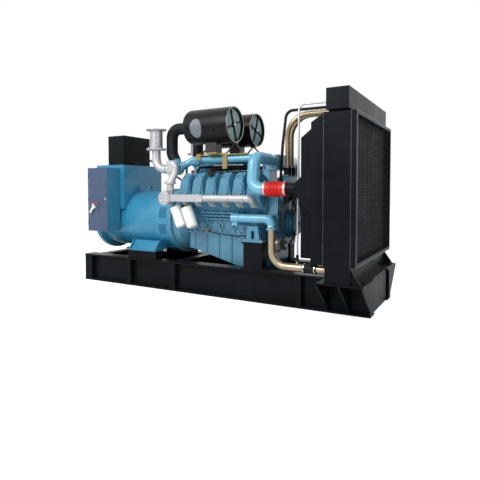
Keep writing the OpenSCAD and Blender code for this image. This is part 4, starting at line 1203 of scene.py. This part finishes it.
@dataclass
class ChargeAir:
    """Red hoses and black ducts between the compressors and the cooler."""

    hose: Box = Box.of("charge_hoses")
    hose_y: float = 0.550
    hose_z: float = 1.148
    hose_radius: float = 0.068
    clamp_inset: float = 0.016
    pipe_end: Point = (0.716, 0.258, 1.4537)
    pipe_way: Point = (0.172, -0.984, -0.045)
    pipe_radius: float = 0.0622

    def build(self) -> None:
        """Dresses the hoses and adds their clamps and those of the charge pipes' upper ends."""
        dress_nodes(SILICONE_RED, "charge_hoses")
        dress_nodes(SHEET_ENAMEL, "charge_ducts")
        ends = (self.hose.back + self.clamp_inset, self.hose.front - self.clamp_inset)
        for word, side in SIDES.items():
            bands = [clamp_band(f"band_{word}_{i}", (x, side * self.hose_y, self.hose_z), (1, 0, 0),
                                self.hose_radius, 0.018, (0, side * 0.4, 0.9)) for i, x in enumerate(ends)]
            (x, y, z), (way_x, way_y, way_z) = self.pipe_end, self.pipe_way
            bands.append(clamp_band(f"band_{word}_top", (x, side * y, z), (way_x, side * way_y, way_z),
                                    self.pipe_radius, 0.016, (0.6, side * 0.1, 0.7)))
            place_on(join(f"charge_hose_clamps_{word}", bands), BRIGHT_STEEL)


@dataclass
class FrontDrive:
    """Pulleys, belts, fan and the charging alternator."""

    fan: Point = joint_place("fan")
    crank: Box = Box.of("crank_pulley")
    hub_face_x: float = 1.1295
    hub_bolts_r: float = 0.062
    crank_bolts_r: float = 0.070

    def build(self) -> None:
        """Dresses the drive and adds the screws that turn with it."""
        dress_nodes(ALTERNATOR_PAINT, "crank_pulley")
        dress_nodes(FAN_PLASTIC, "fan")
        dress_nodes(DARK_IRON, "pump_pulley", "charging_pulley")
        dress_nodes(DIE_CAST, "charging_alternator")
        dress_nodes(BELT_RUBBER, "drive_belts")
        hub = bolt_circle((self.hub_face_x, *self.fan[1:]), (-1, 0, 0), self.hub_bolts_r, 6, 0.0)
        place_on(bolts("fan_hub_bolts", 0.015, hub), BRIGHT_STEEL, "fan_wheel")
        rim = bolt_circle((self.crank.front, 0, AXIS_Z), (1, 0, 0), self.crank_bolts_r, 6, 0.0)
        place_on(bolts("crank_pulley_bolts", 0.015, rim), BRIGHT_STEEL, "crank")
        self.nut("crank_nose_bolt", "crank_pulley", 0.034, DARK_IRON, "crank")
        self.nut("charging_pulley_nut", "charging_pulley", 0.020, BRIGHT_STEEL, "charging")
        self.nut("pump_pulley_nut", "pump_pulley", 0.022, BRIGHT_STEEL, "pump")

    def nut(self, name: str, pulley: str, across: float, finish: Finish, body: str) -> None:
        """Sets the nut in the middle of a pulley's front face.

        Args:
            name: The nut's name.
            pulley: The CAD node of the pulley, which its joint is named for too.
            across: Width across the flats, in metres.
            finish: Its finish.
            body: The body that turns with it.
        """
        middle = (Box.of(pulley).front, *joint_place(pulley)[1:])
        place_on(bolts(name, across, [at(middle, (1, 0, 0))]), finish, body)


@dataclass
class AirCleaners:
    """Two round air cleaners over the engine with their brackets and elbows."""

    shell: Box = Box.of("air_cleaners")
    half_gap: float = 0.262
    axis_z: float = 1.840
    radius: float = 0.193
    folds: int = 72
    fold_back: float = 0.034
    paper_back: float = 0.040
    strap_x: float = 0.150
    strap_width: float = 0.024
    strap_sunk: float = 0.0014
    elbow_end: float = 0.016
    elbow_radius: float = 0.0664
    panel_x: float = -0.078
    panel_drop: float = 0.035
    panel_length: float = 0.150
    panel_height: float = 0.200
    panel_t: float = 0.0012

    def build(self) -> None:
        """Dresses the cleaners and adds rims, elements, nuts, straps, clamps and the panel."""
        dress_nodes(CLEANER_BLACK, "air_cleaners")
        dress_nodes(YELLOW_ZINC, "cleaner_brackets")
        dress_nodes(HOSE_RUBBER, "intake_elbows")
        front, along = self.shell.front, (1, 0, 0)
        rims, papers, hubs, straps, clamps = [], [], [], [], []
        for word, side in SIDES.items():
            y = side * self.half_gap
            rims.append(ring(f"rim_{word}", (front - 0.004, y, self.axis_z), along, self.radius - 0.006,
                             0.005, 64))
            disc = [(self.radius - 0.017, 0.0), (self.radius - 0.017, 0.004)]
            papers.append(turned(f"paper_{word}", disc, (front - self.paper_back, y, self.axis_z), along, 48))
            hubs.append(turned(f"hub_{word}", [(0.016, 0.0), (0.016, 0.008), (0.011, 0.012), (0.004, 0.013)],
                               (front - 0.006, y, self.axis_z), along, 20))
            straps.append(clamp_band(f"strap_{word}", (self.strap_x, y, self.axis_z), along,
                                     self.radius - self.strap_sunk, self.strap_width, (0, side, -0.32)))
            clamps.append(clamp_band(f"joint_{word}", (self.shell.back - self.elbow_end, y, self.axis_z),
                                     along, self.elbow_radius, 0.014, (0, side, -0.4)))
        place_on(join("cleaner_rims", rims), BRIGHT_STEEL)
        fold = bar("cleaner_folds", (0.030, -0.0017, -0.003), (self.radius - 0.019, 0.0017, 0.003), 0.0005)
        around = [at((front - self.fold_back, side * self.half_gap, self.axis_z), along,
                     math.tau * i / self.folds)
                  for side in SIDES.values() for i in range(self.folds)]
        papers.append(copies(fold, around))
        place_on(join("cleaner_elements", papers), FILTER_PAPER)
        place_on(join("cleaner_nuts", hubs), HANDLE_WHITE)
        place_on(join("cleaner_straps", straps), CLEANER_BLACK)
        place_on(join("intake_clamps", clamps), BRIGHT_STEEL)
        self.panel()

    def panel(self) -> None:
        """Lays the blank oval panel round the near cleaner's shell: a thin shell, cut by an oval."""
        deselect_all()
        bpy.ops.mesh.primitive_cylinder_add(
            vertices=128, radius=self.radius + self.panel_t, depth=0.20,
            location=(self.panel_x, -self.half_gap, self.axis_z), rotation=(0, math.pi / 2, 0))
        shell = settle(bpy.context.object)
        shell.name = "cleaner_panel"
        bpy.ops.mesh.primitive_cylinder_add(
            vertices=48, radius=0.5, depth=0.14,
            location=(self.panel_x, -self.half_gap - 0.19, self.axis_z - self.panel_drop),
            rotation=(math.pi / 2, 0, 0), scale=(self.panel_length, self.panel_height, 1.0))
        oval = settle(bpy.context.object)
        take(shell)
        cut = shell.modifiers.new("oval", "BOOLEAN")
        cut.operation, cut.object, cut.solver = "INTERSECT", oval, "EXACT"
        bpy.ops.object.modifier_apply(modifier="oval")
        bpy.data.objects.remove(oval)
        place_on(smooth(shell), PANEL_GREY)


@dataclass
class Cooling:
    """Coolant pipes, sleeves, the radiator and its guard."""

    guard: Box = Box.of("radiator_guard")
    panel: Box = Box.of("radiator_side_panels")
    post: float = 0.034
    cell: float = 0.026
    strand_rise: float = 0.0066
    strand_radius: float = 0.0013
    mesh_back: float = 0.011
    upper_hose: tuple[float, float] = (0.830, 0.050)
    upper_clamps_z: tuple[float, float] = (1.292, 1.378)
    lower_hose: tuple[float, float] = (-0.420, 0.388)
    lower_clamps_x: tuple[float, float] = (1.166, 1.278)
    vent_foot: Point = (1.092, -0.420, 0.427)
    vent_bend: Point = (1.068, -0.330, 1.970)
    vent_sleeve_x: tuple[float, float] = (1.385, 1.455)
    screws_x: tuple[float, float] = (1.462, 1.668)
    screws_z: tuple[float, ...] = (0.56, 0.90, 1.24, 1.58, 1.76)

    def build(self) -> None:
        """Dresses the cooling parts and models the guard and the fittings."""
        dress_nodes(CHAMPAGNE_TUBE, "coolant_pipes")
        dress_nodes(HOSE_RUBBER, "coolant_hoses")
        dress_nodes(VENT_ENAMEL, "vent_pipe")
        dress_nodes(CORE_FINS, "radiator_core")
        dress_nodes(SHEET_ENAMEL, "radiator_side_panels", "header_tank", "radiator_base", "fan_shroud")
        self.guard_frame()
        self.guard_mesh()
        self.sleeves()
        self.panel_screws()
        self.edges()

    def guard_frame(self) -> None:
        """Models the four bars round the guard's mesh; they stand for the CAD grille."""
        box, post = self.guard, self.post
        head, sill = box.top - post, box.foot + post
        corners = {
            "guard_top": ((box.back, box.near, head), (box.front, box.far, box.top)),
            "guard_foot": ((box.back, box.near, box.foot), (box.front, box.far, sill)),
            "guard_near": ((box.back, box.near, sill), (box.front, box.near + post, head)),
            "guard_far": ((box.back, box.far - post, sill), (box.front, box.far, head)),
        }
        bars = [bar(name, low, high, 0.003) for name, (low, high) in corners.items()]
        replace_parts(place_on(join("guard_frame", bars), SHEET_ENAMEL), "radiator_guard")

    def guard_mesh(self) -> None:
        """Models the expanded steel mesh: one zigzag strand, copied up and turned over row by row."""
        left, right = self.guard.near + self.post, self.guard.far - self.post
        sill, head = self.guard.foot + self.post, self.guard.top - self.post
        rise = self.strand_rise
        count = int((right - left) / self.cell)
        step = (right - left) / count
        strand: list[Point] = []
        for i in range(count):
            strand += [(0, left + i * step, 0), (0, left + (i + 0.5) * step, rise)]
        strand.append((0, right, 0))
        wire = tube("guard_mesh", strand, self.strand_radius, bend=0.0, sides=4)
        places = []
        for row in range(int((head - sill) / (2 * rise))):
            odd = row % 2
            turned_over = Matrix.Scale(-1, 4, (0, 0, 1)) if odd else Matrix.Identity(4)
            lift = Matrix.Translation((self.guard.front - self.mesh_back, 0, sill + 2 * (row + odd) * rise))
            places.append(lift @ turned_over)
        mesh = copies(wire, places)
        take(mesh)
        bpy.ops.object.mode_set(mode="EDIT")
        bpy.ops.mesh.select_all(action="SELECT")
        bpy.ops.mesh.normals_make_consistent(inside=False)
        bpy.ops.object.mode_set(mode="OBJECT")
        place_on(mesh, MESH_BLACK)

    def sleeves(self) -> None:
        """Adds the clamps of the hoses, the vent's fittings and its valve."""
        bands = []
        upper_x, upper_y = self.upper_hose
        for word, side in SIDES.items():
            bands += [clamp_band(f"upper_{word}_{i}", (upper_x, side * upper_y, z), (0, 0, 1), 0.042, 0.012)
                      for i, z in enumerate(self.upper_clamps_z)]
        bands += [clamp_band(f"lower_{i}", (x, *self.lower_hose), (1, 0, 0), 0.046, 0.014)
                  for i, x in enumerate(self.lower_clamps_x)]
        place_on(join("coolant_clamps", bands), BRIGHT_STEEL)
        foot, bend = Vector(self.vent_foot), Vector(self.vent_bend)
        way = bend - foot
        low, high = tuple(foot + way * 0.012), tuple(foot + way * 0.055)
        start, end = ((x, *self.vent_bend[1:]) for x in self.vent_sleeve_x)
        fittings = [rod("vent_valve", low, high, 0.016, 20), rod("vent_sleeve", start, end, 0.015, 20)]
        place_on(join("vent_sleeves", fittings), HOSE_RUBBER)
        rings = [ring("vent_ring_top", start, (1, 0, 0), 0.0145, 0.002, 24),
                 ring("vent_ring_low", high, tuple(way), 0.0150, 0.002, 24)]
        place_on(join("vent_rings", rings), BRIGHT_STEEL)

    def panel_screws(self) -> None:
        """Adds the screws along the front and back edges of the side panels."""
        places = [at((x, side * self.panel.far, z), (0, side, 0))
                  for side in SIDES.values() for z in self.screws_z for x in self.screws_x]
        place_on(bolts("radiator_screws", 0.012, places), SHEET_ENAMEL)

    def edges(self) -> None:
        """Adds the folded edges of the side panels and of the guard, in a lighter enamel that paints the
        highlight they catch.
        """
        low, high = self.guard.foot + 0.002, self.guard.top - 0.002
        folds_x = (self.panel.back + 0.0025, self.guard.back, self.guard.front - 0.002)
        folds = []
        for word, side in SIDES.items():
            y = side * (self.panel.far + 0.0005)
            folds += [rod(f"fold_{word}_{i}", (x, y, low), (x, y, high), 0.0022, 12)
                      for i, x in enumerate(folds_x)]
        x = self.guard.front - 0.001
        folds += [rod(f"fold_{i}", (x, self.guard.near, z), (x, self.guard.far, z), 0.0020, 12)
                  for i, z in enumerate((low, high))]
        # The folds' lighter grey is a painted highlight along the sheet edges
        place_on(join("painted_highlight_folds", folds), EDGE_HIGHLIGHT_ENAMEL)


# Studio


@dataclass(frozen=True)
class Lamp:
    """A square area lamp that points at the middle of the set."""

    name: str
    place: Point
    size: float
    power: float

    def build(self) -> None:
        """Hangs the lamp."""
        deselect_all()
        aim = (Vector((0, 0, 0.9)) - Vector(self.place)).to_track_quat("-Z", "Y").to_euler()
        bpy.ops.object.light_add(type="AREA", location=self.place, rotation=aim)
        made = bpy.context.object
        made.name = self.name
        made.data.size = self.size
        made.data.energy = self.power


@dataclass
class Studio:
    """Pale floor, soft lamps and the camera at the photograph's angle."""

    location: Point = (2.70576, -4.42057, 1.14134)
    azimuth: float = 29.37
    pitch: float = 2.0
    focal_px: float = 445.03
    image_px: float = 480.0
    centre_px: tuple[float, float] = (239.72, 205.24)
    sensor_mm: float = 36.0
    floor_colour: str = "#f4f4f4"
    floor_glow: float = 0.56
    sky_strength: float = 0.62
    lamps: tuple[Lamp, ...] = (Lamp("key", (-1.5, -5.5, 4.8), 4.0, 330.0),
                               Lamp("fill", (6.0, -1.5, 3.5), 4.0, 105.0))

    def build(self) -> None:
        """Sets the camera, the stage and the lamps."""
        self.camera()
        self.floor()
        self.world()
        for lamp in self.lamps:
            lamp.build()
        bpy.context.scene.view_settings.view_transform = "Standard"

    def camera(self) -> None:
        """Stands the camera where the photograph was taken."""
        deselect_all()
        bpy.ops.object.camera_add(location=self.location,
                                  rotation=(math.radians(90 - self.pitch), 0, math.radians(self.azimuth)))
        made = bpy.context.object
        centre_x, centre_y = self.centre_px
        made.data.sensor_width = self.sensor_mm
        made.data.lens = self.focal_px / self.image_px * self.sensor_mm
        made.data.shift_x = (self.image_px / 2 - centre_x) / self.image_px
        made.data.shift_y = -(self.image_px / 2 - centre_y) / self.image_px
        made.data.clip_end = 200.0
        bpy.context.scene.camera = made

    def floor(self) -> None:
        """Lays a pale floor that reads white and keeps the shadow."""
        deselect_all()
        bpy.ops.mesh.primitive_plane_add(size=60, location=(0, 0, -0.0005))
        sheet = bpy.context.object
        sheet.name = "floor"
        paper = bpy.data.materials.new("pale_floor")
        paper.use_nodes = True
        tree = paper.node_tree
        tree.nodes.clear()
        seen = add_node(tree, "ShaderNodeLightPath").outputs["Is Camera Ray"]
        share = add_node(tree, "ShaderNodeMath", {0: seen, 1: self.floor_glow}, operation="MULTIPLY")
        matt = add_node(tree, "ShaderNodeBsdfDiffuse", {"Color": linear(self.floor_colour)})
        glow = add_node(tree, "ShaderNodeEmission", {"Color": (1, 1, 1, 1), "Strength": share.outputs[0]})
        mixed = add_node(tree, "ShaderNodeAddShader", {0: matt.outputs[0], 1: glow.outputs[0]})
        add_node(tree, "ShaderNodeOutputMaterial", {"Surface": mixed.outputs[0]})
        sheet.data.materials.append(paper)

    def world(self) -> None:
        """Surrounds the set with white that lights it softly."""
        world = bpy.data.worlds.new("studio")
        bpy.context.scene.world = world
        world.use_nodes = True
        tree = world.node_tree
        tree.nodes.clear()
        path = add_node(tree, "ShaderNodeLightPath")
        seen = add_node(tree, "ShaderNodeMath", {0: path.outputs["Is Camera Ray"],
                        1: path.outputs["Is Glossy Ray"]}, operation="MAXIMUM")
        clear = add_node(tree, "ShaderNodeMath", {0: seen.outputs[0], 1: path.outputs["Is Transmission Ray"]},
                         operation="MAXIMUM")
        soft = add_node(tree, "ShaderNodeBackground", {"Color": (0.93, 0.96, 1.0, 1),
                        "Strength": self.sky_strength})
        white = add_node(tree, "ShaderNodeBackground", {"Color": (1, 1, 1, 1), "Strength": 1.0})
        mixed = add_node(tree, "ShaderNodeMixShader", {0: clear.outputs[0], 1: soft.outputs[0],
                         2: white.outputs[0]})
        add_node(tree, "ShaderNodeOutputWorld", {"Surface": mixed.outputs[0]})


def main() -> None:
    """Builds the studio and every sub-assembly in order."""
    logging.basicConfig(level=logging.INFO, format="%(message)s")
    deselect_all()
    Studio().build()
    for part in (Skid(), Alternator(), Engine(), Exhaust(), ChargeAir(), FrontDrive(), AirCleaners(),
                 Cooling()):
        LOG.info("building %s", type(part).__name__)
        part.build()


if __name__ == "__main__":
    main()
